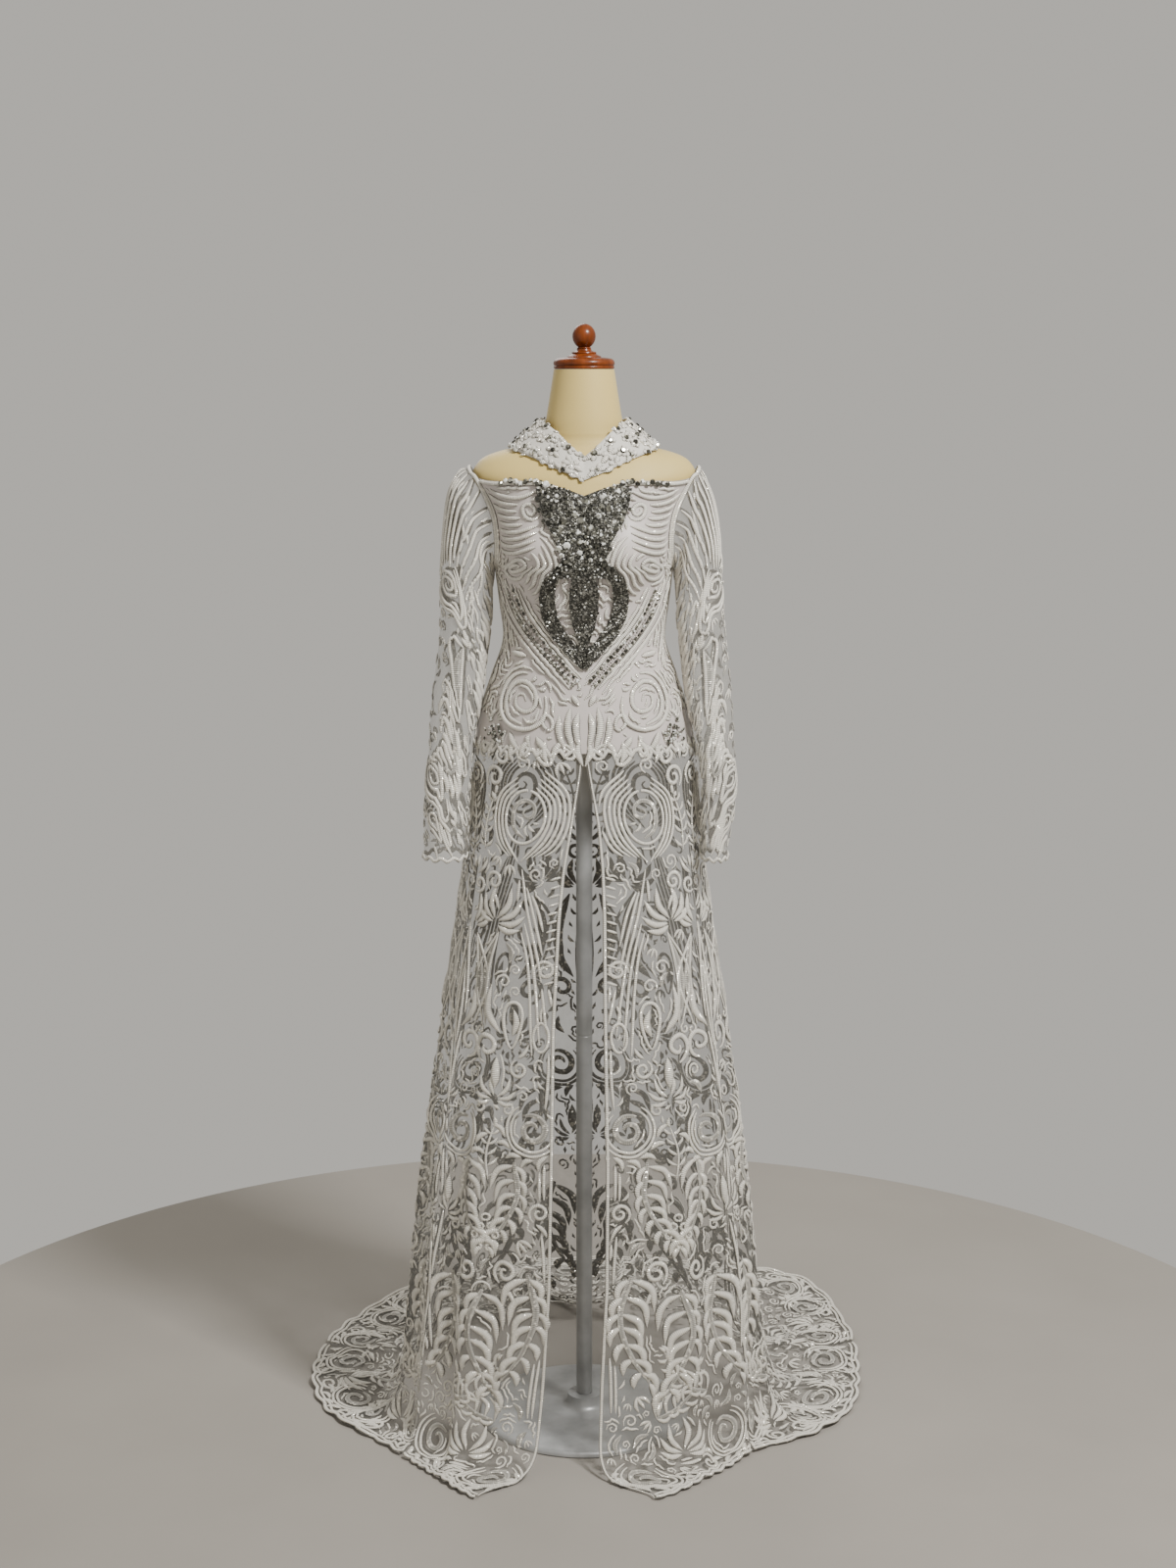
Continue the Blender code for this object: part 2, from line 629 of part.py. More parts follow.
def skirt_point(angle, row, scallop=0.0):
    """The skirt's under surface at a whole or part row number: 0 is the hip seam, and the last row the hem."""
    rows = np.concatenate([[HIP_SEAM_HEIGHT - SEAM_GAP], column(SKIRT_ROWS, "height")])
    height = np.interp(row, np.arange(len(rows)), rows)
    lift = bodice_lift(HIP_SEAM_HEIGHT, 1.0) - SKIRT_THICKNESS
    top = lifted(angle, np.full_like(angle, HIP_SEAM_HEIGHT), lift)
    sizes = []
    for name in ("half_width", "front", "back", "spread"):
        values = column(SKIRT_ROWS, name)
        sizes.append(np.interp(row, np.arange(1, len(values) + 1), values))
    x, y = oval(angle, sizes[0], sizes[1], sizes[2])
    hanging = np.stack([x, y], axis=-1)
    grown = smooth_step((FLUTE_TOP - height) / (FLUTE_TOP - FLUTE_FULL))
    hanging += unit(hanging) * (flutes(angle) * grown)[..., None]
    hanging = np.where((row < 1)[..., None], top[..., :2] * (1 - row[..., None]) + hanging * row[..., None], hanging)
    hem_radius = smooth(HEM_RADIUS, "angle", "radius", angle) + scallop
    turn = np.radians(angle)
    hem = np.stack([np.sin(turn), -np.cos(turn)], axis=-1) * hem_radius[..., None]
    spread = sizes[3][..., None]
    plan = hanging * (1 - spread) + hem * spread
    ridge = np.where(sizes[3] > 0.46, 1 - (1 - RIDGE_AT_HEM) * (sizes[3] - 0.46) / 0.54, 1.0)
    rise = flutes(angle) * RIDGE_SHARE * ridge * smooth_step((sizes[3] - 0.05) / 0.35)
    return np.concatenate([plan, (height + rise)[..., None]], axis=-1)


def slit_angle(row_height, side, spread):
    """The angle of a front edge at a given height, and then over the floor towards its tip."""
    name, tip = ("left_x", LEFT_TIP_ANGLE) if side < 0 else ("right_x", RIGHT_TIP_ANGLE)
    heights = column(SLIT_EDGES, "height")[::-1]
    x = np.interp(row_height, heights, column(SLIT_EDGES, name)[::-1])
    half_width = np.interp(
        row_height, column(SKIRT_ROWS, "height")[::-1], column(SKIRT_ROWS, "half_width")[::-1]
    )
    hanging = np.degrees(np.arcsin(x / half_width))
    return hanging + (tip - hanging) * smooth_step((spread - 0.1) / 0.9)


def skirt_normals(angle, row):
    """Outward direction of the skirt's cloth."""
    last = len(SKIRT_ROWS["rows"])
    before, after = np.clip(row - 0.4, 0, last), np.clip(row + 0.4, 0, last)
    along = skirt_point(angle + 1.0, row) - skirt_point(angle - 1.0, row)
    down = skirt_point(angle, after) - skirt_point(angle, before)
    return unit(np.cross(down, along))


def build_skirt():
    """Six gores, from the hip seam to the scalloped hem of the train."""
    heights = np.concatenate([[HIP_SEAM_HEIGHT], column(SKIRT_ROWS, "height")])
    spreads = np.concatenate([[0.0], column(SKIRT_ROWS, "spread")])
    last = len(heights) - 1
    for name, start, end, facets in GORES["rows"]:
        shares = np.linspace(0, 1, facets + 1)
        under, above = [], []
        for row, (height, spread) in enumerate(zip(heights, spreads)):
            low = slit_angle(height, 1, spread) if start is None else start
            high = slit_angle(height, -1, spread) if end is None else end
            angles = low + (high - low) * shares
            rows = np.full(len(shares), float(row))
            radius = np.hypot(*skirt_point(angles, rows)[:, :2].T)
            trim = np.degrees(PANEL_GAP / 2 / radius)
            normals = skirt_normals(angles, rows)
            angles = angles + np.where(shares == 0, trim, 0) - np.where(shares == 1, trim, 0)
            scallop = HEM_SCALLOP * (-1.0) ** np.arange(facets + 1) * (row == last)
            scallop[[0, -1]] = 0.0
            points = skirt_point(angles, rows, scallop)
            under.append(points)
            above.append(points + normals * SKIRT_THICKNESS)
        wall(name, np.array(above), np.array(under), "sheer_lace")


def build_collar():
    """The lace collar with its raised flowers, open at the back of the neck."""
    angles = np.linspace(-180 + COLLAR_BACK_OPENING, 180 - COLLAR_BACK_OPENING, COLLAR_FACETS + 1)
    sides = np.where(angles < 0, -1.0, 1.0)
    away = np.abs(angles)
    low_heights = smooth(COLLAR_LOWER, "angle", "height", away)
    lower = lifted(angles, low_heights, np.full(len(angles), LYING_GAP))
    upper = np.stack(
        [
            smooth(COLLAR_UPPER, "angle", "x", away) * sides,
            smooth(COLLAR_UPPER, "angle", "y", away),
            smooth(COLLAR_UPPER, "angle", "height", away),
        ],
        axis=-1,
    )
    slope = unit(upper - lower)
    facing = unit(np.cross(np.gradient(lower + upper, axis=0), slope))
    under, above = [], []
    for row in range(COLLAR_ROWS + 1):
        share = row / COLLAR_ROWS
        points = lower * (1 - share) + upper * share
        points = points + facing * COLLAR_BULGE * math.sin(math.pi * share)
        ripple = (-1.0) ** np.arange(len(angles))
        if row == COLLAR_ROWS:
            points = points + slope * (COLLAR_SCALLOP * ripple)[:, None]
        raised = np.where((np.arange(len(angles)) + row) % 2 == 0, COLLAR_FLOWER_RISE, 0.0)
        under.append(points)
        above.append(points + facing * (COLLAR_THICKNESS + raised)[:, None])
    wall("collar", np.array(above), np.array(under), "ivory_lace")


def sideways_angle(sideways, height):
    """The angle reached by going a distance round the bodice from the centre front."""
    reach = smooth(FORM_SECTIONS, "height", "half_width", height)
    depth = smooth(FORM_SECTIONS, "height", "front", height)
    fine = np.linspace(0, 90, 91)
    x, y = oval(fine, reach, depth, depth)
    gone = np.concatenate([[0], np.cumsum(np.hypot(np.diff(x), np.diff(y)))])
    return math.copysign(float(np.interp(abs(sideways), gone, fine)), sideways)


def seen_angle(x, height):
    """The angle of the spot on the bodice that lies at x when seen from the front."""
    reach = smooth(FORM_SECTIONS, "height", "half_width", height) + bodice_lift(height, 1.0)
    return np.degrees(np.arcsin(np.clip(np.asarray(x) / reach, -1, 1)))


def build_plastron():
    """The beaded plastron over the centre front, with its larger stones raised."""
    under, above, cells = [], [], []
    for number, (height, outer, inner, windowed) in enumerate(PLASTRON_ROWS["rows"]):
        arm = np.linspace(outer, inner, PLASTRON_ARM_COLUMNS + 1)
        middle = np.linspace(inner, -inner, PLASTRON_MIDDLE_COLUMNS + 1)
        across = -np.concatenate([arm[:-1], middle, -arm[::-1][1:]])
        angles = seen_angle(across, height)
        heights = np.full(len(across), height)
        if number <= 1:
            neckline = smooth(NECKLINE, "angle", "height", np.abs(angles))
            heights = np.minimum(heights, neckline - 0.0015 - 0.0060 * number)
        raised = np.where((np.arange(len(across)) + number) % 2 == 0, CRYSTAL_RISE, 0.0)
        under.append(on_bodice(0, angles, heights, np.full(len(across), PLASTRON_GAP)))
        above.append(on_bodice(0, angles, heights, PLASTRON_GAP + PLASTRON_THICKNESS + raised))
        kept = np.full(len(across) - 1, True)
        if windowed:
            kept[[PLASTRON_ARM_COLUMNS, -PLASTRON_ARM_COLUMNS - 1]] = False
        cells.append(kept)
    wall("plastron", np.array(above), np.array(under), "silver_stone", cells=np.array(cells[:-1]))


def band(name, centre, sideways, heights, half_width, lift, material, raised=0.0):
    """A corded band that lies on the bodice along a path; sideways is metres round it from a centre line."""
    path = np.stack([sideways, heights], axis=-1)
    ahead = unit(np.gradient(path, axis=0))
    across = np.stack([-ahead[:, 1], ahead[:, 0]], axis=-1) * np.reshape(half_width, (-1, 1))
    rise = lift + CORD_THICKNESS + np.where(np.arange(len(path)) % 2 == 0, raised, 0.0)
    rings = []
    for number in range(len(path)):
        corners = []
        for share, above in ((-1, lift), (1, lift), (0.55, rise[number]), (-0.55, rise[number])):
            spot = path[number] + across[number] * share
            turn = np.array(sideways_angle(spot[0], spot[1]))
            corners.append(on_bodice(centre, turn, np.array(spot[1]), np.array(above)))
        rings.append(np.array(corners))
    return lofted(name, rings, material)


def metres_round(angle, height):
    """How far round the bodice an angle lies from the centre line that it is measured from."""
    reach = smooth(FORM_SECTIONS, "height", "half_width", height)
    depth = smooth(FORM_SECTIONS, "height", "front", height)
    fine = np.linspace(0, abs(angle), 91)
    x, y = oval(fine, reach, depth, depth)
    return math.copysign(float(np.sum(np.hypot(np.diff(x), np.diff(y)))), angle)


def build_applique():
    """The thick corded scrolls, and the two bands of stones that meet below the waist."""
    for name, centre, angle, height, wide, narrow, turns, start, lift in SCROLLS["rows"]:
        share = np.linspace(0, 1, SCROLL_POINTS)
        turn = np.radians(start) + share * turns * 2 * math.pi
        radius = wide + (narrow - wide) * share**0.8
        sideways = metres_round(angle, height) + radius * np.cos(turn)
        heights = height + radius * np.sin(turn) * SCROLL_STRETCH
        taper = 0.35 + 0.65 * np.minimum(1.0, np.minimum(share, 1 - share) * 8)
        band(name, centre, sideways, heights, SCROLL_WIDTH / 2 * taper, lift, "ivory_lace")
    for name, side in (("stone_band_left", -1), ("stone_band_right", 1)):
        keys = np.linspace(0, 1, len(STONE_BAND["rows"]))
        at = np.linspace(0, 1, STONE_BAND_POINTS)
        heights = np.interp(at, keys, column(STONE_BAND, "height"))
        angles = seen_angle(np.interp(at, keys, column(STONE_BAND, "x")), heights)
        sideways = np.array([metres_round(*spot) for spot in zip(angles, heights)]) * side
        widths = np.full(len(at), STONE_BAND_WIDTH / 2)
        band(name, 0, sideways, heights, widths, LYING_GAP, "silver_stone", raised=CRYSTAL_RISE)


def main():
    for thing in list(bpy.data.objects):
        bpy.data.objects.remove(thing)
    build_stand()
    build_form()
    build_cap()
    build_bodice()
    build_sleeves()
    build_skirt()
    build_collar()
    build_plastron()
    build_applique()


main()
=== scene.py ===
"""Dresses the packed model of a long lace kebaya on a dress form.

The CAD nodes give the places and the sizes. Here every cloth gets its fine surface, and the corded
lace, the stones, the form's cover and the turned wood are laid on it. Metres, +Z up, front is -Y.
"""

import json
import math

import bpy
import numpy as np
from bpy.props import FloatProperty, FloatVectorProperty, IntProperty, PointerProperty
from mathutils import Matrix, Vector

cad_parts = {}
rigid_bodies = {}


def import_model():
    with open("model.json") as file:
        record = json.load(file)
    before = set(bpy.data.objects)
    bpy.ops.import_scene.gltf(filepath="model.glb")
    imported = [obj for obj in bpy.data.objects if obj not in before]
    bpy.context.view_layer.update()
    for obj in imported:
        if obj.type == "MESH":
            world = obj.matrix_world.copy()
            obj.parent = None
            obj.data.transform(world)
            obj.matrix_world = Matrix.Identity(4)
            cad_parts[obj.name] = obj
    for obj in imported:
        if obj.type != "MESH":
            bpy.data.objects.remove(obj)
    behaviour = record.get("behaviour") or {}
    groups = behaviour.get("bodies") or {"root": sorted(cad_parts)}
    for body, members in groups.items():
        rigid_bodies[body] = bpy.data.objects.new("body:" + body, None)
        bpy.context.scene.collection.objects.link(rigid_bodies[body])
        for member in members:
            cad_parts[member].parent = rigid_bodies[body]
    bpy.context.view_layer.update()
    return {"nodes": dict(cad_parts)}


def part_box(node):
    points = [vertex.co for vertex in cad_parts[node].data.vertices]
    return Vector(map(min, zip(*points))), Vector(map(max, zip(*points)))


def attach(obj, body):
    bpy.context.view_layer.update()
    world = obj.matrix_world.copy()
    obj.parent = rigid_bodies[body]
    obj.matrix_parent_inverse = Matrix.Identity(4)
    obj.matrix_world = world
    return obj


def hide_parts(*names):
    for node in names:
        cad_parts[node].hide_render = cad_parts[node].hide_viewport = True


bl_info = {
    "name": "Lace kebaya on a dress form",
    "version": (1, 0, 0),
    "blender": (4, 5, 0),
    "location": "View3D > Sidebar > Kebaya",
    "description": "Builds the sheer cloth, the corded lace and the stones of a long kebaya on its form",
    "category": "Object",
}

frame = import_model()
HIP_SEAM_HEIGHT = float(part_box("bodice_front_left")[0][2])
NECK_TOP_HEIGHT = float(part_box("neck_cap")[0][2])
FORM_BOTTOM_HEIGHT = float(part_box("form_body")[0][2])
TOP_HEIGHT = float(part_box("finial_knob")[1][2])
BASE_RADIUS = float(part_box("stand_base")[1][0])
POLE_RADIUS = float(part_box("stand_pole")[1][0])

# The photograph's camera: its place, its tilt in degrees from straight down, its lens and sensor in mm
CAMERA_PLACE = (0.0058, -3.52, 1.635)
CAMERA_TILT = 80.0
CAMERA_LENS = 54.09
CAMERA_SENSOR = 36.0

# How far the skirt stands off and the bodice's edging hangs past the hip seam, how wide one repeat of the
# motifs is, a stone's facets and last turn, and where the bodice's shoulder and armhole begin
SKIRT_LIFT = 0.0014
SEAM_OVERLAP = 0.0245
REPEAT_WIDTH = 0.22
STONE_FACETS = 8
LAST_SPIN = 6.283
SHOULDER_FOOT = 1.43
ARMHOLE_FOOT = 1.345
# The seam round the neck's foot
GROOVE = {"height": 1.5345, "spread": 0.0016, "depth": 0.0009}

# The wooden cap: radius, and height above the neck's top
CAP_PROFILE = (
    (0.0425, 0), (0.0443, 0.0008), (0.0449, 0.0025), (0.0444, 0.0042), (0.0436, 0.0048), (0.0446, 0.0056),
    (0.0453, 0.008), (0.0449, 0.0105), (0.0436, 0.0128), (0.0415, 0.0145), (0.0385, 0.0155), (0.03, 0.0166),
    (0.0255, 0.017), (0.0248, 0.0185), (0.0205, 0.0203), (0.0178, 0.0222), (0.0183, 0.0234), (0.0178, 0.0246),
    (0.014, 0.0254), (0.0112, 0.0268), (0.0104, 0.0292),
)

# Surfaces, as the CAD has them
FORM_SECTIONS = (
    # height, half width, front, back
    (0.985, 0.16, 0.112, 0.122), (1.03, 0.162, 0.117, 0.126), (1.08, 0.1605, 0.118, 0.127),
    (1.13, 0.1495, 0.112, 0.119), (1.18, 0.133, 0.103, 0.106), (1.237, 0.1145, 0.093, 0.09),
    (1.29, 0.1195, 0.097, 0.09), (1.345, 0.1262, 0.102, 0.095), (1.4, 0.132, 0.101, 0.099),
    (1.43, 0.14, 0.0985, 0.1), (1.452, 0.151, 0.095, 0.099), (1.466, 0.16, 0.0905, 0.0965),
    (1.478, 0.165, 0.086, 0.0925), (1.488, 0.164, 0.08, 0.0875), (1.496, 0.159, 0.0745, 0.0825),
    (1.503, 0.1525, 0.0695, 0.0775), (1.509, 0.142, 0.065, 0.0735), (1.514, 0.128, 0.0615, 0.0695),
    (1.519, 0.108, 0.058, 0.0655), (1.524, 0.085, 0.0555, 0.0615), (1.53, 0.069, 0.054, 0.0585),
    (1.54, 0.061, 0.053, 0.057), (1.558, 0.057, 0.052, 0.055), (1.59, 0.0515, 0.049, 0.0505),
    (1.634, 0.0445, 0.0445, 0.0445),
)
BUST = {"angle": 34.0, "height": 1.372, "rise": 0.21, "angle_spread": 24.0, "height_spread": 0.045}
NECKLINE = (
    # angle, height
    (0, 1.453), (9, 1.462), (20, 1.4715), (35, 1.474), (52, 1.4735), (67, 1.477), (90, 1.49), (113, 1.477),
    (135, 1.47), (180, 1.464),
)
ARMHOLE_EDGE = (
    # height, degrees from the side seam
    (1.345, 0), (1.352, 11.0), (1.37, 18.0), (1.4, 21.5), (1.43, 22.5), (1.48, 23.0),
)
SHOULDER_ARC = ((15.0, 0.0060), (8.0, 0.0105))
BODICE_OUTSIDE = 0.0042
SLEEVE_RINGS = (
    # inner x, inner z, left x, right x, outer z, centre y, half depth
    (0.1345, 1.34, 0.185, 0.176, 1.485, 0.0, 0.046), (0.1358, 1.334, 0.1965, 0.1835, 1.466, -0.001, 0.049),
    (0.1362, 1.325, 0.203, 0.192, 1.44, -0.002, 0.049), (0.1366, 1.312, 0.208, 0.199, 1.406, -0.004, 0.048),
    (0.1378, 1.294, 0.212, 0.2035, 1.36, -0.006, 0.046), (0.1398, 1.266, 0.215, 0.207, 1.308, -0.009, 0.044),
    (0.143, 1.23, 0.2175, 0.212, 1.254, -0.013, 0.042), (0.148, 1.185, 0.2215, 0.2165, 1.199, -0.019, 0.04),
    (0.155, 1.135, 0.2275, 0.2205, 1.142, -0.027, 0.038), (0.164, 1.08, 0.2325, 0.2255, 1.083, -0.036, 0.037),
    (0.17, 1.025, 0.237, 0.2275, 1.026, -0.044, 0.037), (0.173, 0.975, 0.24, 0.2235, 0.975, -0.051, 0.037),
    (0.174, 0.936, 0.241, 0.2175, 0.936, -0.056, 0.038), (0.1745, 0.913, 0.241, 0.215, 0.913, -0.058, 0.038),
)
SKIRT_ROWS = (
    # height, half width, front, back, share of the way out to the hem
    (1.08, 0.164, 0.1216, 0.1306, 0.0), (1.03, 0.1695, 0.127, 0.138, 0.0), (0.975, 0.174, 0.132, 0.148, 0.0),
    (0.91, 0.1805, 0.138, 0.159, 0.0), (0.84, 0.1885, 0.1445, 0.171, 0.0), (0.76, 0.199, 0.151, 0.184, 0.0),
    (0.67, 0.2105, 0.158, 0.198, 0.0), (0.57, 0.2225, 0.1655, 0.214, 0.0), (0.47, 0.234, 0.173, 0.231, 0.0),
    (0.37, 0.2445, 0.1805, 0.248, 0.0), (0.28, 0.253, 0.187, 0.264, 0.0), (0.2, 0.26, 0.1925, 0.279, 0.0),
    (0.13, 0.266, 0.197, 0.293, 0.01), (0.075, 0.27, 0.2, 0.303, 0.05), (0.035, 0.272, 0.2015, 0.308, 0.14),
    (0.011, 0.273, 0.2025, 0.31, 0.28), (0.0, 0.273, 0.203, 0.31, 0.46), (0.0, 0.273, 0.203, 0.31, 0.73),
    (0.0, 0.273, 0.203, 0.31, 1.0),
)
SKIRT_TABLE = np.array(SKIRT_ROWS, float)
SKIRT_KEYS = np.arange(len(SKIRT_ROWS), dtype=float)
HEM_RADIUS = (
    # angle, radius
    (-180, 0.65), (-152, 0.6), (-130, 0.535), (-110, 0.476), (-90, 0.408), (-72, 0.338), (-46, 0.315), (-28, 0.335),
    (0, 0.33), (19, 0.316), (45, 0.292), (66, 0.31), (78, 0.372), (90, 0.42), (110, 0.482), (128, 0.57),
    (143, 0.665), (160, 0.655), (180, 0.65),
)
SLIT_EDGES = (
    # height, left x, right x
    (1.08, -0.0004, 0.0004), (1.05, -0.003, 0.005), (0.975, -0.015, 0.018), (0.91, -0.026, 0.024),
    (0.84, -0.033, 0.0265), (0.67, -0.042, 0.028), (0.47, -0.045, 0.031), (0.28, -0.048, 0.03),
    (0.13, -0.058, 0.023), (0.035, -0.066, 0.02), (0.0, -0.07, 0.02),
)
TIP_ANGLES = {-1: -27.5, 1: 18.5}
FLUTES = (
    # angle, spread, depth
    (-168, 6.0, 0.017), (-146, 6.5, 0.021), (-124, 6.0, 0.016), (-103, 5.5, 0.019), (-82, 5.0, 0.015),
    (-61, 5.5, 0.012), (-40, 5.0, 0.013), (37, 5.0, 0.01), (58, 5.5, 0.015), (80, 5.0, 0.013), (101, 5.5, 0.018),
    (123, 6.0, 0.017), (147, 6.5, 0.022), (170, 6.0, 0.018),
)
COLLAR_LOWER = (
    # angle, height
    (0, 1.4745), (12, 1.488), (25, 1.502), (38, 1.51), (60, 1.5165), (90, 1.519), (130, 1.515), (180, 1.503),
)
COLLAR_UPPER = (
    # angle, x, y, height
    (0, 0.0, -0.069, 1.507), (12, 0.018, -0.0665, 1.523), (25, 0.035, -0.057, 1.54), (40, 0.0475, -0.044, 1.55),
    (60, 0.057, -0.027, 1.556), (90, 0.0625, 0.002, 1.56), (130, 0.051, 0.043, 1.559), (180, 0.0, 0.066, 1.557),
)
PLASTRON_ROWS = (
    # height, outer, inner, windowed
    (1.462, 0.069, 0.023, False), (1.451, 0.0665, 0.023, False), (1.44, 0.064, 0.022, False),
    (1.427, 0.0605, 0.021, False), (1.413, 0.0555, 0.02, False), (1.4, 0.0475, 0.018, False),
    (1.387, 0.0405, 0.016, False), (1.374, 0.0345, 0.014, False), (1.362, 0.033, 0.018, False),
    (1.35, 0.045, 0.03, False), (1.338, 0.055, 0.037, True), (1.324, 0.061, 0.041, True),
    (1.31, 0.063, 0.042, True), (1.295, 0.0628, 0.0415, True), (1.28, 0.06, 0.038, True),
    (1.265, 0.0545, 0.0315, True), (1.25, 0.0465, 0.0215, True), (1.237, 0.0365, 0.012, False),
    (1.224, 0.026, 0.005, False), (1.212, 0.015, 0.003, False), (1.202, 0.005, 0.0015, False),
)
STONE_BAND = (
    # x, height
    (0.106, 1.313), (0.094, 1.283), (0.077, 1.255), (0.056, 1.229), (0.035, 1.206), (0.012, 1.18),
)

# Gores by node: the side of the gown, and the seams' angles from the front; None is the slit
GORES = (
    ("front", None, 60.0), ("side", 120.0, 60.0), ("back", 120.0, 180.0),
)

# Lace of one gore. across runs from the slit's side (0) to the next seam (1)
GORE_LACE = (
    # motif, across, height, size, turn, flip
    ("rosette", 0.46, 0.985, 0.031, 0, 1), ("volute", 0.84, 1.04, 0.019, 20, 1), ("spray", 0.9, 0.93, 0.085, -6, 1),
    ("volute", 0.72, 0.886, 0.0165, 30, 1), ("volute", 0.93, 0.878, 0.0165, 150, -1),
    ("fan", 0.66, 0.822, 0.062, -22, -1), ("fan", 0.94, 0.812, 0.056, 18, 1), ("sheaf", 0.42, 0.908, 0.25, 8, -1),
    ("pod", 0.6, 0.808, 0.135, 170, 1), ("pod", 0.88, 0.8, 0.13, 190, -1), ("volute", 0.12, 0.76, 0.016, -20, 1),
    ("ring", 0.12, 0.66, 0.022, 0, 1), ("horn", 0.6, 0.64, 0.082, 0, 1), ("horn", 0.84, 0.64, 0.078, 0, -1),
    ("teardrop", 0.38, 0.64, 0.07, 0, 1), ("volute", 0.3, 0.61, 0.015, 150, -1),
    ("palmette", 0.5, 0.56, 0.06, 0, 1), ("scroll", 0.17, 0.52, 0.04, 0, 1), ("scroll", 0.84, 0.505, 0.04, 0, -1),
    ("spray", 0.5, 0.44, 0.08, 0, 1), ("frond", 0.3, 0.47, 0.14, 168, 1), ("frond", 0.7, 0.47, 0.14, 192, -1),
    ("volute", 0.1, 0.395, 0.016, 30, 1), ("berries", 0.5, 0.35, 0.034, 0, 1),
    ("palmette", 0.92, 0.37, 0.056, 0, 1), ("volute", 0.34, 0.3, 0.02, 30, 1), ("volute", 0.62, 0.3, 0.02, 150, -1),
    ("frond", 0.17, 0.3, 0.17, 176, 1), ("frond", 0.5, 0.27, 0.17, 184, -1), ("frond", 0.82, 0.285, 0.17, 176, 1),
)
# Lace of the border: how far in from the hem
BORDER_LACE = (
    # motif, across, in from the hem, size, turn, flip
    ("scroll", 0.18, 0.064, 0.038, 20, 1), ("fan", 0.5, 0.06, 0.058, 0, 1), ("scroll", 0.82, 0.066, 0.038, -20, -1),
    ("volute", 0.38, 0.03, 0.0165, 90, 1), ("volute", 0.62, 0.03, 0.0165, 90, -1),
    ("flower", 0.0, 0.085, 0.023, 0, 1), ("frond", 0.34, 0.135, 0.1, 52, 1), ("frond", 0.68, 0.135, 0.1, -52, -1),
)
# Lace of half the bodice's front, seen from the front: x and height of each path's points
BUST_LEAVES = (
    ((0.052, 1.402), (0.066, 1.412), (0.084, 1.408)), ((0.05, 1.418), (0.062, 1.428), (0.076, 1.424)),
    ((0.058, 1.34), (0.064, 1.322), (0.082, 1.308)), ((0.07, 1.33), (0.078, 1.316), (0.098, 1.306)),
    ((0.126, 1.404), (0.13, 1.384), (0.122, 1.362)), ((0.134, 1.392), (0.136, 1.368), (0.128, 1.342)),
)
WAIST_CORDS = (
    ((0.118, 1.33), (0.108, 1.292), (0.106, 1.25), (0.1, 1.214)),
    ((0.127, 1.326), (0.116, 1.288), (0.114, 1.246), (0.11, 1.208)),
)
FLAMES = (
    ((0.008, 1.166), (0.034, 1.196), (0.062, 1.212), (0.106, 1.222)),
    ((0.008, 1.15), (0.03, 1.18), (0.052, 1.2), (0.07, 1.204)),
    ((0.01, 1.136), (0.024, 1.16), (0.04, 1.184), (0.048, 1.19)),
)
HIP_LEAVES = (
    ((0.006, 1.15), (0.012, 1.118), (0.006, 1.084)), ((0.02, 1.148), (0.024, 1.118), (0.015, 1.08)),
    ((0.036, 1.136), (0.037, 1.112), (0.028, 1.084)), ((0.07, 1.104), (0.064, 1.092), (0.054, 1.08)),
    ((0.09, 1.104), (0.084, 1.092), (0.074, 1.08)), ((0.11, 1.108), (0.106, 1.094), (0.096, 1.08)),
)
HIP_CURLS = (
    # x, height, radius, turn, flip
    (0.024, 1.08, 0.0125, 20, 1), (0.056, 1.074, 0.0145, 60, -1), (0.088, 1.079, 0.013, 150, 1),
    (0.118, 1.073, 0.0145, 60, -1), (0.146, 1.079, 0.013, 150, 1),
)
# Lace of half a sleeve: round from the inner side (0) to the outer side (0.5), and metres down
SLEEVE_LACE = (
    # motif, round, down, size, turn, flip
    ("swirl", 0.36, 0.172, 0.021, 60, 1), ("pod", 0.24, 0.215, 0.08, 176, 1), ("flower", 0.2, 0.196, 0.015, 0, 1),
    ("spray", 0.3, 0.3, 0.075, 178, 1), ("volute", 0.13, 0.262, 0.014, 90, 1),
    ("volute", 0.3, 0.318, 0.0145, 20, 1), ("volute", 0.15, 0.335, 0.014, 200, -1),
    ("frond", 0.24, 0.33, 0.115, 172, 1), ("volute", 0.1, 0.398, 0.014, 60, 1),
    ("flower", 0.16, 0.44, 0.016, 20, 1), ("swirl", 0.36, 0.458, 0.0215, 20, 1),
    ("volute", 0.24, 0.49, 0.015, 120, 1), ("volute", 0.1, 0.505, 0.016, 60, -1),
    ("swirl", 0.33, 0.52, 0.0175, 80, -1), ("volute", 0.2, 0.532, 0.014, 120, 1),
    ("volute", 0.46, 0.52, 0.015, 120, -1),
)


# ---- Sizes and colours that a user would change


def length_setting(name, description, default):
    return FloatProperty(name=name, description=description, default=default, unit="LENGTH")


def colour_setting(name, description, default):
    return FloatVectorProperty(name=name, description=description, default=default, subtype="COLOR")


class GownSizes(bpy.types.PropertyGroup):
    skirt_cord: length_setting("Skirt cord", "Half the width of a cord on the overskirt", 0.0026)
    bodice_cord: length_setting("Bodice cord", "Half the width of a cord on the bodice and sleeves", 0.0034)
    lace_lift: length_setting("Lace lift", "How far the lace stands off the cloth", 0.0003)
    filling: IntProperty(
        name="Filling", description="Trials for small motifs in each gore", default=4000, min=0
    )


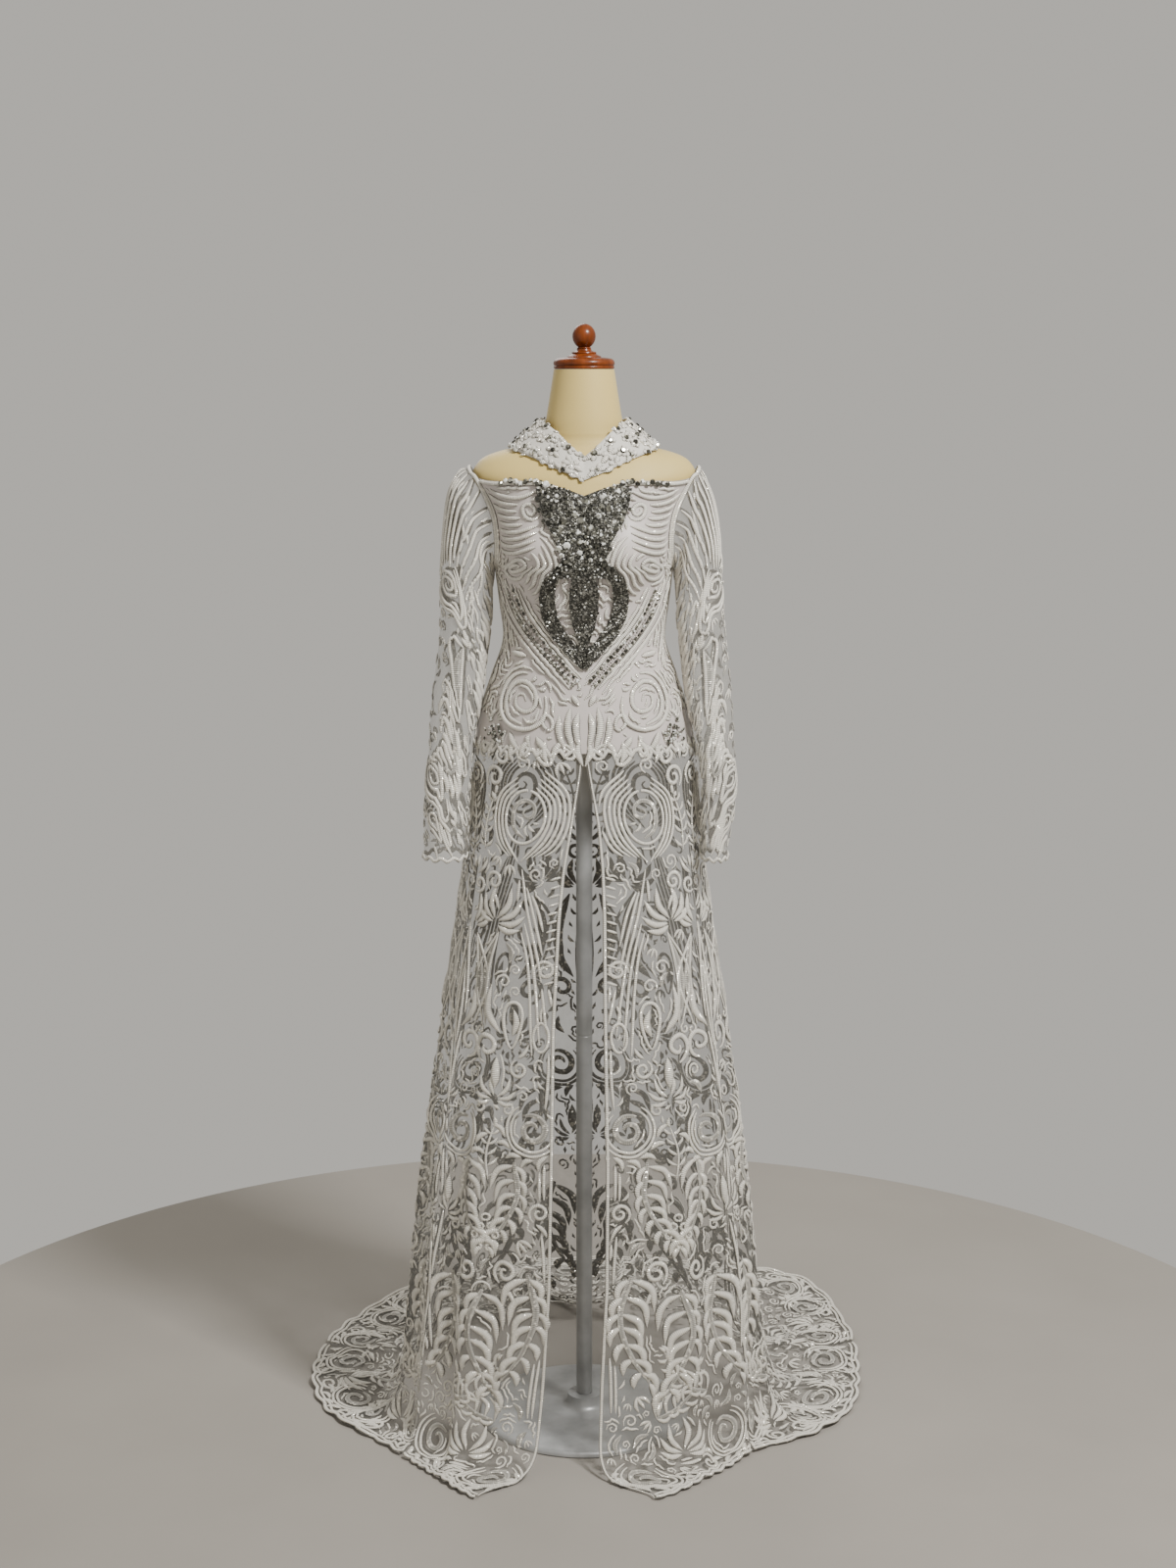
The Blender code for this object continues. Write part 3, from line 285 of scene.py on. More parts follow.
class GownColours(bpy.types.PropertyGroup):
    thread: colour_setting("Thread", "Lace thread", (0.74, 0.70, 0.61))
    tulle: colour_setting("Tulle", "Sheer ground of the lace", (0.62, 0.59, 0.52))
    # Set darker than the satin's own pinkish white: painted shade for the hollows between the bodice's cords.
    satin: colour_setting("Satin", "Lining of the bodice", (0.58, 0.52, 0.48))
    stone: colour_setting("Stone", "Foil-backed stones", (0.33, 0.32, 0.26))
    cover: colour_setting("Cover", "The form's cover", (0.60, 0.45, 0.15))
    wood: colour_setting("Wood", "Varnished wood of the cap", (0.150, 0.032, 0.005))
    steel: colour_setting("Steel", "Paint of the stand", (0.42, 0.42, 0.41))
    floor: colour_setting("Floor", "Floor of the stage", (0.30, 0.275, 0.24))
    wall: colour_setting("Surroundings", "Plain light round the stage", (0.57, 0.55, 0.51))


def sizes():
    return bpy.context.scene.gown_sizes


def colours():
    return bpy.context.scene.gown_colours


# ---- Curves and surfaces


def smooth(table, at, name=1):
    """A smooth curve through one column of a table, read at one key or at an array of keys."""
    keys = np.array([row[0] for row in table], float)
    values = np.array([row[name] for row in table], float)
    return smooth_through(keys, values, at)


def smooth_through(keys, values, at):
    """Cubic curve through values at keys; values may have a second dimension."""
    slopes = np.gradient(values, keys, axis=0)
    at = np.clip(np.asarray(at, float), keys[0], keys[-1])
    low = np.clip(np.searchsorted(keys, at, side="right") - 1, 0, len(keys) - 2)
    span = keys[low + 1] - keys[low]
    t = (at - keys[low]) / span
    shape = span.shape + (1,) * (values.ndim - 1)
    span, t = span.reshape(shape), t.reshape(shape)
    return (
        (2 * t**3 - 3 * t**2 + 1) * values[low]
        + (t**3 - 2 * t**2 + t) * span * slopes[low]
        + (3 * t**2 - 2 * t**3) * values[low + 1]
        + (t**3 - t**2) * span * slopes[low + 1]
    )


def ease(value):
    """0 below 0, 1 above 1 and an S-curve between."""
    t = np.clip(value, 0.0, 1.0)
    return t * t * (3 - 2 * t)


def unit(vectors):
    return vectors / np.maximum(np.linalg.norm(vectors, axis=-1, keepdims=True), 1e-12)


def oval(angle, half_width, front, back):
    turn = np.radians(angle)
    depth = np.where(np.cos(turn) > 0, front, back)
    return half_width * np.sin(turn), -depth * np.cos(turn)


def form_point(angle, height):
    """A point on the dress form; angle 0 is the front."""
    angle, height = np.broadcast_arrays(np.asarray(angle, float), np.asarray(height, float))
    half_width, front, back = (smooth(FORM_SECTIONS, height, name) for name in (1, 2, 3))
    aside = (np.abs((angle + 180) % 360 - 180) - BUST["angle"]) / BUST["angle_spread"]
    above = (height - BUST["height"]) / BUST["height_spread"]
    mound = 1 + BUST["rise"] * np.exp(-(aside**2) - above**2)
    x, y = oval(angle, half_width * (1 + (mound - 1) * 0.35), front * mound, back)
    return np.stack([x, y, height], axis=-1)


def off_form(angle, height, lift):
    """A point at a distance from the form."""
    along = form_point(angle + 0.5, height) - form_point(angle - 0.5, height)
    high = np.minimum(height + 0.002, NECK_TOP_HEIGHT)
    low = np.maximum(height - 0.002, FORM_SECTIONS[0][0])
    up = form_point(angle, high) - form_point(angle, low)
    lift = np.broadcast_to(np.asarray(lift, float), np.broadcast(angle, height).shape)
    return form_point(angle, height) + unit(np.cross(along, up)) * lift[..., None]


def seen_angle(x, height):
    """The angle of the spot on the bodice that lies at x when seen from the front."""
    reach = smooth(FORM_SECTIONS, height) + BODICE_OUTSIDE
    return np.degrees(np.arcsin(np.clip(np.asarray(x) / reach, -1, 1)))


def flutes(angle):
    total = np.zeros_like(np.asarray(angle, float))
    for centre, spread, depth in FLUTES:
        away = (angle - centre + 180) % 360 - 180
        total += depth * np.exp(-((away / spread) ** 2))
    return total


def creases(angle, height):
    """Fine soft creases of the tulle, which grow towards the floor."""
    grown = ease((1.02 - height) / 0.8)
    wave = np.sin(np.radians(angle) * 41 + 2.2 * np.sin(height * 5))
    wave += 0.7 * np.sin(np.radians(angle) * 67 + 1.3 + 1.7 * np.sin(height * 7 + 1))
    return 0.0011 * grown * (wave + 1.7)


def skirt_point(angle, row, lift, scallop=0.0):
    """A point of the overskirt at a row number: 0 is the hip seam, and the last row the hem."""
    measures = smooth_through(SKIRT_KEYS, SKIRT_TABLE, row)
    height, half_width, front, back, spread = np.moveaxis(measures, -1, 0)
    height, spread = np.maximum(height, 0), np.clip(spread, 0, 1)
    x, y = oval(angle, half_width, front, back)
    hanging = np.stack([x, y], axis=-1)
    grown = ease((1.02 - height) / (1.02 - 0.24))
    hanging += unit(hanging) * (flutes(angle) * grown + creases(angle, height) + lift)[..., None]
    turn = np.radians(angle)
    radius = smooth(HEM_RADIUS, (angle + 180) % 360 - 180) + scallop
    hem = np.stack([np.sin(turn), -np.cos(turn)], axis=-1) * radius[..., None]
    share = spread[..., None]
    ridge = np.where(spread > 0.46, 1 - 0.65 * (spread - 0.46) / 0.54, 1.0)
    lying = ease((spread - 0.05) / 0.35)
    rise = (flutes(angle) * 0.62 * ridge + creases(angle, 0 * height) * 0.8 + lift) * lying
    return np.concatenate([hanging * (1 - share) + hem * share, (height + rise)[..., None]], axis=-1)


def slit_angle(row, side):
    """The angle of a front edge at each row."""
    height, half_width, spread = (np.interp(row, SKIRT_KEYS, SKIRT_TABLE[:, name]) for name in (0, 1, 4))
    heights = [edge[0] for edge in SLIT_EDGES][::-1]
    x = np.interp(height, heights, [edge[1 if side < 0 else 2] for edge in SLIT_EDGES][::-1])
    hanging = np.degrees(np.arcsin(x / half_width))
    return hanging + (TIP_ANGLES[side] - hanging) * ease((spread - 0.1) / 0.9)


class Cloth:
    """A fine grid of points on one piece of cloth, on which lace is laid out flat.

    Rows run down and columns across. round_tube joins the last column to the first.
    """

    def __init__(self, grid, centre=(0.0, 0.0), round_tube=False):
        self.grid = grid
        self.round_tube = round_tube
        self.rows, self.columns = grid.shape[:2]
        across = np.gradient(grid, axis=1)
        if round_tube:
            across = np.roll(grid, -1, 1) - np.roll(grid, 1, 1)
        self.normals = unit(np.cross(np.gradient(grid, axis=0), across))
        if centre is not None:
            outward = grid[..., :2] - np.array(centre)
            if np.mean(np.sum(self.normals[..., :2] * outward, axis=-1)) < 0:
                self.normals = -self.normals
        joined = np.concatenate([grid, grid[:, :1]], axis=1) if round_tube else grid
        steps = np.linalg.norm(np.diff(joined, axis=1), axis=2)
        self.width = steps.sum(1)
        down = np.linalg.norm(np.diff(grid, axis=0), axis=2)
        self.down = np.vstack([np.zeros(self.columns), np.cumsum(down, axis=0)])
        steps = steps[:, : self.columns - 1]
        self.area = float(np.sum((down[:, :-1] + down[:, 1:]) / 2 * (steps[1:] + steps[:-1]) / 2))

    def column(self, across):
        if self.round_tube:
            return np.asarray(across) % 1.0 * self.columns
        return np.clip(across, 0, 1) * (self.columns - 1)

    def width_at(self, row):
        return np.interp(row, np.arange(self.rows), self.width)

    def down_of_height(self, across, height):
        """How far down the cloth a height lies, at a share across."""
        column = int(self.column(across)) % self.columns
        heights = self.grid[:, column, 2]
        last = int(np.argmin(heights)) + 1
        return float(np.interp(-height, -heights[:last], self.down[:last, column]))

    def row(self, across, down):
        """Row numbers of spots given by their share across and the metres down."""
        column = np.round(self.column(across)).astype(int) % self.columns
        lengths = self.down[:, column]
        index = (lengths <= down).sum(axis=0) - 1
        index = np.clip(index, 0, self.rows - 2)
        spots = np.arange(len(column))
        low, high = lengths[index, spots], lengths[index + 1, spots]
        return np.clip(index + (down - low) / np.maximum(high - low, 1e-9), 0, self.rows - 1)

    def sample(self, values, across, row):
        column = self.column(across)
        c0 = np.floor(column).astype(int)
        r0 = np.clip(np.floor(row).astype(int), 0, self.rows - 2)
        if self.round_tube:
            c0, c1 = c0 % self.columns, (c0 + 1) % self.columns
        else:
            c0 = np.clip(c0, 0, self.columns - 2)
            c1 = c0 + 1
        fc = (column - np.floor(column))[:, None] if self.round_tube else (column - c0)[:, None]
        fr = (row - r0)[:, None]
        top = values[r0, c0] * (1 - fc) + values[r0, c1] * fc
        low = values[r0 + 1, c0] * (1 - fc) + values[r0 + 1, c1] * fc
        return top * (1 - fr) + low * fr

    def place(self, across, row, lift):
        normals = unit(self.sample(self.normals, across, row))
        return self.sample(self.grid, across, row) + normals * np.reshape(lift, (-1, 1)), normals

    def mesh(self):
        """The cloth itself, as one layer with its faces outwards."""
        points, faces = self.grid.reshape(-1, 3), grid_faces(self.rows, self.columns, self.round_tube)
        middle = faces[len(faces) // 2]
        a, b, c = points[list(middle[:3])]
        if np.dot(np.cross(b - a, c - a), self.normals.reshape(-1, 3)[middle[0]]) < 0:
            faces = [face[::-1] for face in faces]
        return new_mesh(points, faces)


# ---- Lace motifs, drawn flat in metres with up as +y

CELL = 0.001
REACH = 16
MARGIN = 18
AWAY = np.hypot(*np.meshgrid(np.arange(-REACH, REACH + 1), np.arange(-REACH, REACH + 1))) * CELL


def through(points, step=0.0052):
    """A smooth path through control points, evenly stepped."""
    points = np.array(points, float)
    keys = np.concatenate([[0], np.cumsum(np.linalg.norm(np.diff(points, axis=0), axis=1))])
    return smooth_through(keys, points, np.linspace(0, keys[-1], max(4, int(keys[-1] / step) + 1)))


class Pen:
    """Draws raised strokes on a cloth, and keeps a map of the room left between them."""

    def __init__(self, cloth, cord, lift):
        self.cloth, self.cord, self.lift = cloth, cord, lift
        self.strokes = []
        self.anchor = (0.0, 0.0, 0.0, 1)
        shape = [int(span.max() / CELL) + 2 * MARGIN for span in (cloth.down, cloth.width)]
        self.room = np.full(shape, REACH * CELL, np.float32)

    def flat(self, share, down):
        """Row number and the metres across for spots on the cloth."""
        row = self.cloth.row(share, down)
        width = self.cloth.width_at(row)
        if self.cloth.round_tube:
            return row, share % 1.0 * width
        return row, (np.clip(share, 0, 1) - 0.5) * width + self.cloth.width.max() / 2

    def room_at(self, across, down):
        i = np.clip((np.asarray(down) / CELL).astype(int) + MARGIN, 0, self.room.shape[0] - 1)
        j = np.clip((np.asarray(across) / CELL).astype(int) + MARGIN, 0, self.room.shape[1] - 1)
        return self.room[i, j]

    def mark(self, across, down, half):
        for x, y, reach in zip(across, down, half):
            i, j = int(y / CELL) + MARGIN, int(x / CELL) + MARGIN
            window = self.room[i - REACH : i + REACH + 1, j - REACH : j + REACH + 1]
            if window.shape == AWAY.shape:
                np.minimum(window, AWAY - reach, out=window)

    def move(self, across, down, turn=0.0, flip=1):
        self.anchor = (across, down, math.radians(turn), flip)

    def on_cloth(self, points):
        points = np.atleast_2d(np.asarray(points, float))
        across, down, turn, flip = self.anchor
        x, y = points[:, 0] * flip, points[:, 1]
        x, y = x * math.cos(turn) + y * math.sin(turn), y * math.cos(turn) - x * math.sin(turn)
        row = self.cloth.row(np.full(len(x), across), down - y)
        return across + x / self.cloth.width_at(row), down - y

    def draw(self, points, width=None, kind="cord", ends=0.35, over=True):
        """A stroke in local metres; width is its half width, narrowed towards both ends."""
        self.lay(*self.on_cloth(points), width, kind, ends, over)

    def lay(self, share, down, width=None, kind="cord", ends=0.35, over=True):
        """A stroke given by its share across and the metres down; over lets it cross others."""
        cloth = self.cloth
        share, down = np.asarray(share, float), np.asarray(down, float)
        half = np.broadcast_to(np.asarray(self.cord if width is None else width, float), share.shape)
        total = cloth.down[-1, np.round(cloth.column(share)).astype(int) % cloth.columns]
        inside = (down >= 0.0005) & (down <= total - 0.0005)
        if not cloth.round_tube:
            inside &= (share >= 0.002) & (share <= 0.998)
        row, across = self.flat(share, down)
        if not over:
            inside &= self.room_at(across, down) > half * 0.85
        change = np.diff(np.concatenate([[0], inside.astype(int), [0]]))
        for start, stop in zip(np.flatnonzero(change == 1), np.flatnonzero(change == -1)):
            if stop - start < 3:
                continue
            keep = slice(start, stop)
            t = np.linspace(0, 1, stop - start)
            narrow = ends + (1 - ends) * np.clip(np.minimum(t, 1 - t) * 5, 0, 1) ** 0.7
            places, normals = cloth.place(share[keep], row[keep], self.lift)
            self.strokes.append((places, normals, half[keep] * narrow, kind))
            self.mark(across[keep], down[keep], half[keep])


def spiral(pen, centre, radius, turns, start, width=None, kind="cord", inner=0.18):
    count = max(8, int(turns * 2 * math.pi * radius * (1 + inner) / 2 / 0.0042))
    share = np.linspace(0, 1, count)
    turn = math.radians(start) + share * turns * 2 * math.pi
    reach = radius * (1 - (1 - inner) * share)
    width = (pen.cord if width is None else width) * (1 - 0.3 * share)
    pen.draw(round_path(turn, reach, reach, centre), width, kind)


def leaf_stroke(pen, base, tip, width, bend=0.15, kind="pad", over=True):
    base, tip = np.array(base, float), np.array(tip, float)
    along = tip - base
    side = np.array([-along[1], along[0]]) * bend
    points = through([base, base + along * 0.5 + side, tip])
    share = np.linspace(0, 1, len(points))
    shape = np.sin(math.pi * np.clip(share * 0.84 + 0.10, 0, 1)) ** 0.8
    pen.draw(points, width * shape, kind, ends=0.15, over=over)


def way(degrees):
    """The direction of an angle, counted from the right."""
    turn = math.radians(degrees)
    return np.array([math.cos(turn), math.sin(turn)])


def round_path(turn, wide, tall, centre=(0, 0)):
    """Points round a centre at the angles of turn."""
    return np.stack([centre[0] + wide * np.cos(turn), centre[1] + tall * np.sin(turn)], -1)


def loop(pen, centre, wide, tall, start=-90, width=None):
    """A ring or an oval of cord."""
    count = max(9, int(math.pi * (wide + tall) / 0.0045))
    turn = np.radians(np.linspace(start, start + 352, count))
    pen.draw(round_path(turn, wide, tall, centre), width, ends=0.9)


def arcs(pen, reaches, start, stop, width=None, tall=1.0, over=False):
    """Parallel arcs about the pen's spot, from one angle to another."""
    for reach in reaches:
        turn = np.radians(np.linspace(start, stop, max(6, int(abs(stop - start) / 57 * reach / 0.0046))))
        pen.draw(round_path(turn, reach, reach * tall), width, over=over)


def volute(pen, size):
    spiral(pen, (0, 0), size, 1.5, -30, size * 0.22, "pad", inner=0.16)
    tail = [(size * 0.86, -size * 0.5), (size, -size * 1.5), (size * 0.5, -size * 2.7)]
    leaf_stroke(pen, tail[0], tail[2], size * 0.22, bend=-0.12, over=False)


def pod(pen, size):
    """A long ribbed ribbon in a loop of cord, curled at its end."""
    width = max(size * 0.055, pen.cord * 1.9)
    leaf_stroke(pen, (0, 0), (size * 0.10, size), width, bend=0.10, kind="band")
    for side in (-1, 1):
        reach = side * (width + pen.cord * 1.25)
        path = [(0, -0.004), (reach * 1.15 - size * 0.09, size * 0.5), (size * 0.10 + reach * 0.4, size * 1.02)]
        pen.draw(through(path))
    spiral(pen, (size * 0.05, size + pen.cord * 4), pen.cord * 3.6, 1.1, -90)


def fan(pen, size, leaves=7, spread=150):
    for number in range(leaves):
        length = size * (0.70 + 0.30 * math.sin(math.pi * number / (leaves - 1)))
        tip = way(90 - spread / 2 + spread * number / (leaves - 1)) * length
        bend = 0.16 * (1 if number > leaves / 2 else -1)
        leaf_stroke(pen, tip * 0.16, tip, size * 0.088, bend)


def spray(pen, size, pairs=5):
    """A stem with small leaves on both sides."""
    stem = through([(0, 0), (size * 0.06, size * 0.5), (-size * 0.04, size)])
    pen.draw(stem, pen.cord * 0.7)
    for number in range(pairs):
        share = 0.12 + 0.80 * number / (pairs - 1)
        root = stem[int(share * (len(stem) - 1))]
        for side in (-1, 1):
            length = size * (0.22 - 0.06 * share)
            leaf_stroke(pen, root, root + np.array([side * length * 0.85, length * 0.8]), size * 0.036, -0.15 * side)
    leaf_stroke(pen, stem[-1], stem[-1] + np.array([0, size * 0.2]), size * 0.045)


def frond(pen, size, leaves=7):
    """A long curved acanthus frond, fuller on its outer side."""
    stem = through([(0, 0), (size * 0.12, size * 0.36), (size * 0.03, size * 0.74), (-size * 0.12, size)])
    share = np.linspace(0, 1, len(stem))
    pen.draw(stem, size * 0.036 * (1.2 - 0.7 * share), "band")
    for number in range(leaves):
        at = 0.04 + 0.86 * number / (leaves - 1)
        root = stem[int(at * (len(stem) - 1))]
        for side in (-1, 1):
            reach = size * (0.34 - 0.14 * at) * (0.62 if side > 0 else 1.0)
            tip = root + np.array([side * reach * 0.62, reach * 1.0])
            leaf_stroke(pen, root, tip, size * 0.040, bend=-0.24 * side)
    leaf_stroke(pen, stem[-1], stem[-1] + np.array([-size * 0.03, size * 0.14]), size * 0.036)


def rosette(pen, size):
    """A tall oval round a curled frond, in sheaves of cord that meet in a point below."""
    pitch = pen.cord * 2.6
    loop(pen, (0, 0), size, size * 1.28, start=100)
    path = through(np.array([
        (-0.10, -1.02), (0.40, -0.66), (0.60, -0.02), (0.42, 0.62), (-0.06, 0.80), (-0.46, 0.50), (-0.40, 0.06),
        (-0.06, -0.02), (0.10, 0.24), (-0.08, 0.40),
    ]) * size, step=0.0045)
    pen.draw(path, size * np.linspace(0.15, 0.09, len(path)), "band")
    for number in range(6):
        out = way(170 + 26 * number) * (1, 1.25)
        leaf_stroke(pen, out * size * 0.34, out * size * 0.80, size * 0.10, bend=0.22, over=False)
    for side, cords in ((-1, 5), (1, 3)):
        for number in range(cords):
            reach = size + pitch * (number + 1)
            tall = size * 1.28 + pitch * (number + 1)
            path = [
                (side * reach * 0.35, tall * 0.96), (side * reach * 0.90, tall * 0.5), (side * reach, 0),
                (side * reach * 0.80, -tall * 0.62), (side * pitch * (0.4 + 0.62 * number), -size * 2.15),
            ]
            pen.draw(through(path), over=False)


def medallion(pen, size):
    """The large round motif on the hip: thick rings that curl inwards round a leaf."""
    arcs(pen, (size,), 150, 452, size * 0.105, tall=1.06, over=True)
    path = through(np.array([
        (-0.20, -0.86), (0.40, -0.70), (0.72, -0.12), (0.55, 0.50), (0.02, 0.74), (-0.50, 0.46), (-0.56, -0.06),
        (-0.20, -0.36), (0.20, -0.22), (0.24, 0.16), (-0.06, 0.26), (-0.20, 0.04),
    ]) * size, step=0.0045)
    pen.draw(path, size * np.linspace(0.125, 0.085, len(path)), "pad")
    for number in range(4):
        out = way(52 + 26 * number) * size
        leaf_stroke(pen, out * 0.86, out * 1.16 + (-size * 0.10, 0), size * 0.10, bend=0.2, over=False)
    for turn in (190, 238, 286, 334):
        out = way(turn)
        leaf_stroke(pen, out * size * 1.16, (out + (0.1, -0.25)) * size * 1.48, size * 0.12, bend=0.2, over=False)


def swirl(pen, size):
    """Cords that wind into a round curl, with leaves on its back."""
    spiral(pen, (0, 0), size, 2.2, 20, size * 0.16, "pad", inner=0.2)
    arcs(pen, (size + pen.cord * 2.4, size + pen.cord * 4.6), 170, 400)
    for number in range(5):
        out = way(190 + 34 * number)
        side = np.array([-out[1], out[0]])
        root = out * (size + pen.cord * 6)
        leaf_stroke(pen, root, root + out * size * 0.30 + side * size * 0.42, size * 0.15, bend=0.15, over=False)


def scroll(pen, size):
    """A big scroll: parallel cords round a curled leaf, with leaves on its back."""
    arcs(pen, (size, size - pen.cord * 2.6), 130, 420, over=True)
    spiral(pen, (0, 0), size * 0.60, 1.3, 60, size * 0.14, "band", inner=0.3)
    for number in range(7):
        root = way(186 + 26 * number) * (size + pen.cord * 2)
        tip = way(208 + 26 * number) * (size * 1.42 + pen.cord * 2)
        leaf_stroke(pen, root, tip, size * 0.12, bend=0.2)


def sheaf(pen, size, cords=5):
    """Cords that leave one point, run down side by side and part."""
    pitch = pen.cord * 2.6
    for number in range(cords):
        aside = number - (cords - 1) / 2
        path = [
            (aside * pitch * 0.3, -abs(aside) * 0.008),
            (aside * pitch * 1.05 + size * 0.02, -size * 0.22),
            (aside * pitch * 1.15 + size * 0.07, -size * 0.55),
            (aside * pitch * 1.8 + size * 0.10, -size * (1 - 0.06 * aside)),
        ]
        pen.draw(through(path), over=False)


def teardrop(pen, size):
    points = round_path(np.radians(np.linspace(-90, 270, 22)), size * 0.24, size * 0.5, (0, size * 0.5))
    points[:, 0] *= 0.45 + 0.75 * (points[:, 1] / size)
    pen.draw(points, pen.cord * 1.2)
    leaf_stroke(pen, (0, size * 0.26), (0, size * 0.84), size * 0.09)


def horn(pen, size):
    """An upright horn that grows out of a curl."""
    spiral(pen, (0, 0), size * 0.30, 1.3, -90, size * 0.062, "pad", inner=0.15)
    leaf_stroke(pen, (-size * 0.24, size * 0.26), (size * 0.02, size * 1.15), size * 0.085, bend=-0.16)


def ring(pen, size):
    loop(pen, (0, 0), size * 0.52, size, start=-60)
    pen.draw(through([(0, size), (size * 0.1, size * 1.6), (-size * 0.1, size * 2.2)]))


def palmette(pen, size):
    """A tall bud over a fan of leaves, on two small volutes."""
    leaf_stroke(pen, (0, size * 0.30), (0, size * 1.1), size * 0.13, bend=0.0)
    fan(pen, size * 0.74, leaves=7, spread=190)
    for side in (-1, 1):
        spiral(pen, (side * size * 0.36, -size * 0.20), size * 0.17, 1.2, 90, size * 0.05, "pad")
        leaf_stroke(pen, (0, -size * 0.1), (side * size * 0.22, -size * 0.56), size * 0.08, 0.2 * side, over=False)


def flower(pen, size, petals=6):
    for number in range(petals):
        out = way(360 / petals * number + 90) * size
        leaf_stroke(pen, out * 0.2, out, size * 0.25, bend=0.0)


def berries(pen, size):
    """A cluster of small rings."""
    for x, y in (
        (0, 0), (0.42, 0.12), (-0.42, 0.16), (0.2, 0.52), (-0.22, 0.56), (0.24, -0.4), (-0.2, -0.42), (0, 0.95),
    ):
        loop(pen, (size * x, size * y), size * 0.15, size * 0.15, width=pen.cord * 0.8)


MOTIFS = {draw.__name__: draw for draw in (
    volute, pod, fan, spray, frond, rosette, swirl, scroll, sheaf, teardrop, horn, ring, palmette, flower, berries,
)}


def random_spot(pen, chance, low, high):
    """A random place on the cloth: its share across, the metres down and the metres across."""
    cloth = pen.cloth
    share = chance.uniform(0.0, 1.0) if cloth.round_tube else chance.uniform(0.008, 0.992)
    column = int(cloth.column(share)) % cloth.columns
    down = chance.uniform(max(low, 0.003), min(high, cloth.down[-1, column] - 0.003))
    row, across = pen.flat(np.array([share]), np.array([down]))
    return share, down, float(across[0]), float(cloth.width_at(row[0]))


def echo_cords(pen, trials, seed, half, gap, longest, low=0.0, high=9.0):
    """Cords that run beside the ones already laid, a gap away, as far as there is room."""
    chance = np.random.default_rng(seed)
    step, aim = 0.0045, half + gap
    for _ in range(trials):
        share, down, across, width = random_spot(pen, chance, low, high)
        if not aim * 0.9 < pen.room_at(across, down) < aim * 1.7:
            continue
        path = [(across, down)]
        for side in (1, -1):
            x, y, heading = across, down, None
            for _ in range(int(longest / step)):
                slope = np.array([
                    pen.room_at(x + 0.002, y) - pen.room_at(x - 0.002, y),
                    pen.room_at(x, y + 0.002) - pen.room_at(x, y - 0.002),
                ])
                size = np.linalg.norm(slope)
                if size < 1e-5:
                    break
                slope /= size
                along = np.array([-slope[1], slope[0]]) * side
                if heading is not None and np.dot(along, heading) < 0.2:
                    break
                heading = along
                steer = np.clip((aim - pen.room_at(x, y)) / step, -0.5, 0.5)
                ahead = unit(along + slope * steer) * step
                x, y = x + ahead[0], y + ahead[1]
                if pen.room_at(x, y) < half * 0.95 or not low <= y <= high:
                    break
                path.append((x, y)) if side > 0 else path.insert(0, (x, y))
        if len(path) >= 4:
            points = np.array(path)
            pen.lay(share + (points[:, 0] - across) / width, points[:, 1], half)


def curls_between(pen, trials, seed, half, longest, high=9.0, closest=1.25, fattest=1.9):
    """Commas, curls and small rings wherever there is room for them."""
    chance = np.random.default_rng(seed)
    step = 0.0042
    for _ in range(trials):
        share, down, across, width = random_spot(pen, chance, 0.0, high)
        clear = float(pen.room_at(across, down))
        if clear < half * closest:
            continue
        heading, bend = chance.uniform(0, 2 * math.pi), chance.uniform(15, 75) * chance.choice((-1, 1))
        path = [(across, down)]
        for number in range(int(longest / step)):
            heading += bend * step * (1 + 0.25 * number)
            x, y = path[-1][0] + math.cos(heading) * step, path[-1][1] + math.sin(heading) * step
            if pen.room_at(x, y) < half * 1.05:
                break
            path.append((x, y))
        if len(path) < 3:
            continue
        points = np.array(path)
        fat = min(clear * 0.8, half * fattest)
        shape = np.linspace(1.0, 0.55, len(points)) * max(fat, half)
        kind = "pad" if fat > half else "cord"
        pen.lay(share + (points[:, 0] - across) / width, points[:, 1], shape, kind)


# ---- Meshes, materials and node trees


def grid_faces(rows, columns, closed):
    """Quads of a grid of points; closed joins the last column to the first."""
    faces = []
    for i in range(rows - 1):
        for j in range(columns if closed else columns - 1):
            k = (j + 1) % columns
            faces.append((i * columns + j, i * columns + k, (i + 1) * columns + k, (i + 1) * columns + j))
    return faces


def new_mesh(points, faces=(), edges=()):
    mesh = bpy.data.meshes.new("mesh")
    mesh.from_pydata(np.asarray(points).tolist(), list(edges), list(faces))
    if faces:
        mesh.shade_smooth()
    return mesh


def put(name, data):
    """A new object in the scene."""
    thing = bpy.data.objects.new(name, data)
    bpy.context.scene.collection.objects.link(thing)
    return thing


def new_piece(name, mesh, material, replaces):
    """A finished piece that rides on the part's one body."""
    piece = put(name, mesh)
    mesh.name = name
    mesh.materials.clear()
    mesh.materials.append(material)
    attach(piece, "root")
    if replaces:
        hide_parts(*replaces)
    return piece


class Nodes:
    """A node tree to which nodes are added with their inputs, each a value or another node's output."""

    def feed(self, socket, value):
        if isinstance(value, bpy.types.NodeSocket):
            self.tree.links.new(value, socket)
        else:
            socket.default_value = value

    def node(self, kind, inputs=(), **settings):
        node = self.tree.nodes.new(kind)
        for key, value in settings.items():
            setattr(node, key, value)
        for key, value in dict(inputs).items():
            self.feed(node.inputs[key], value)
        return node


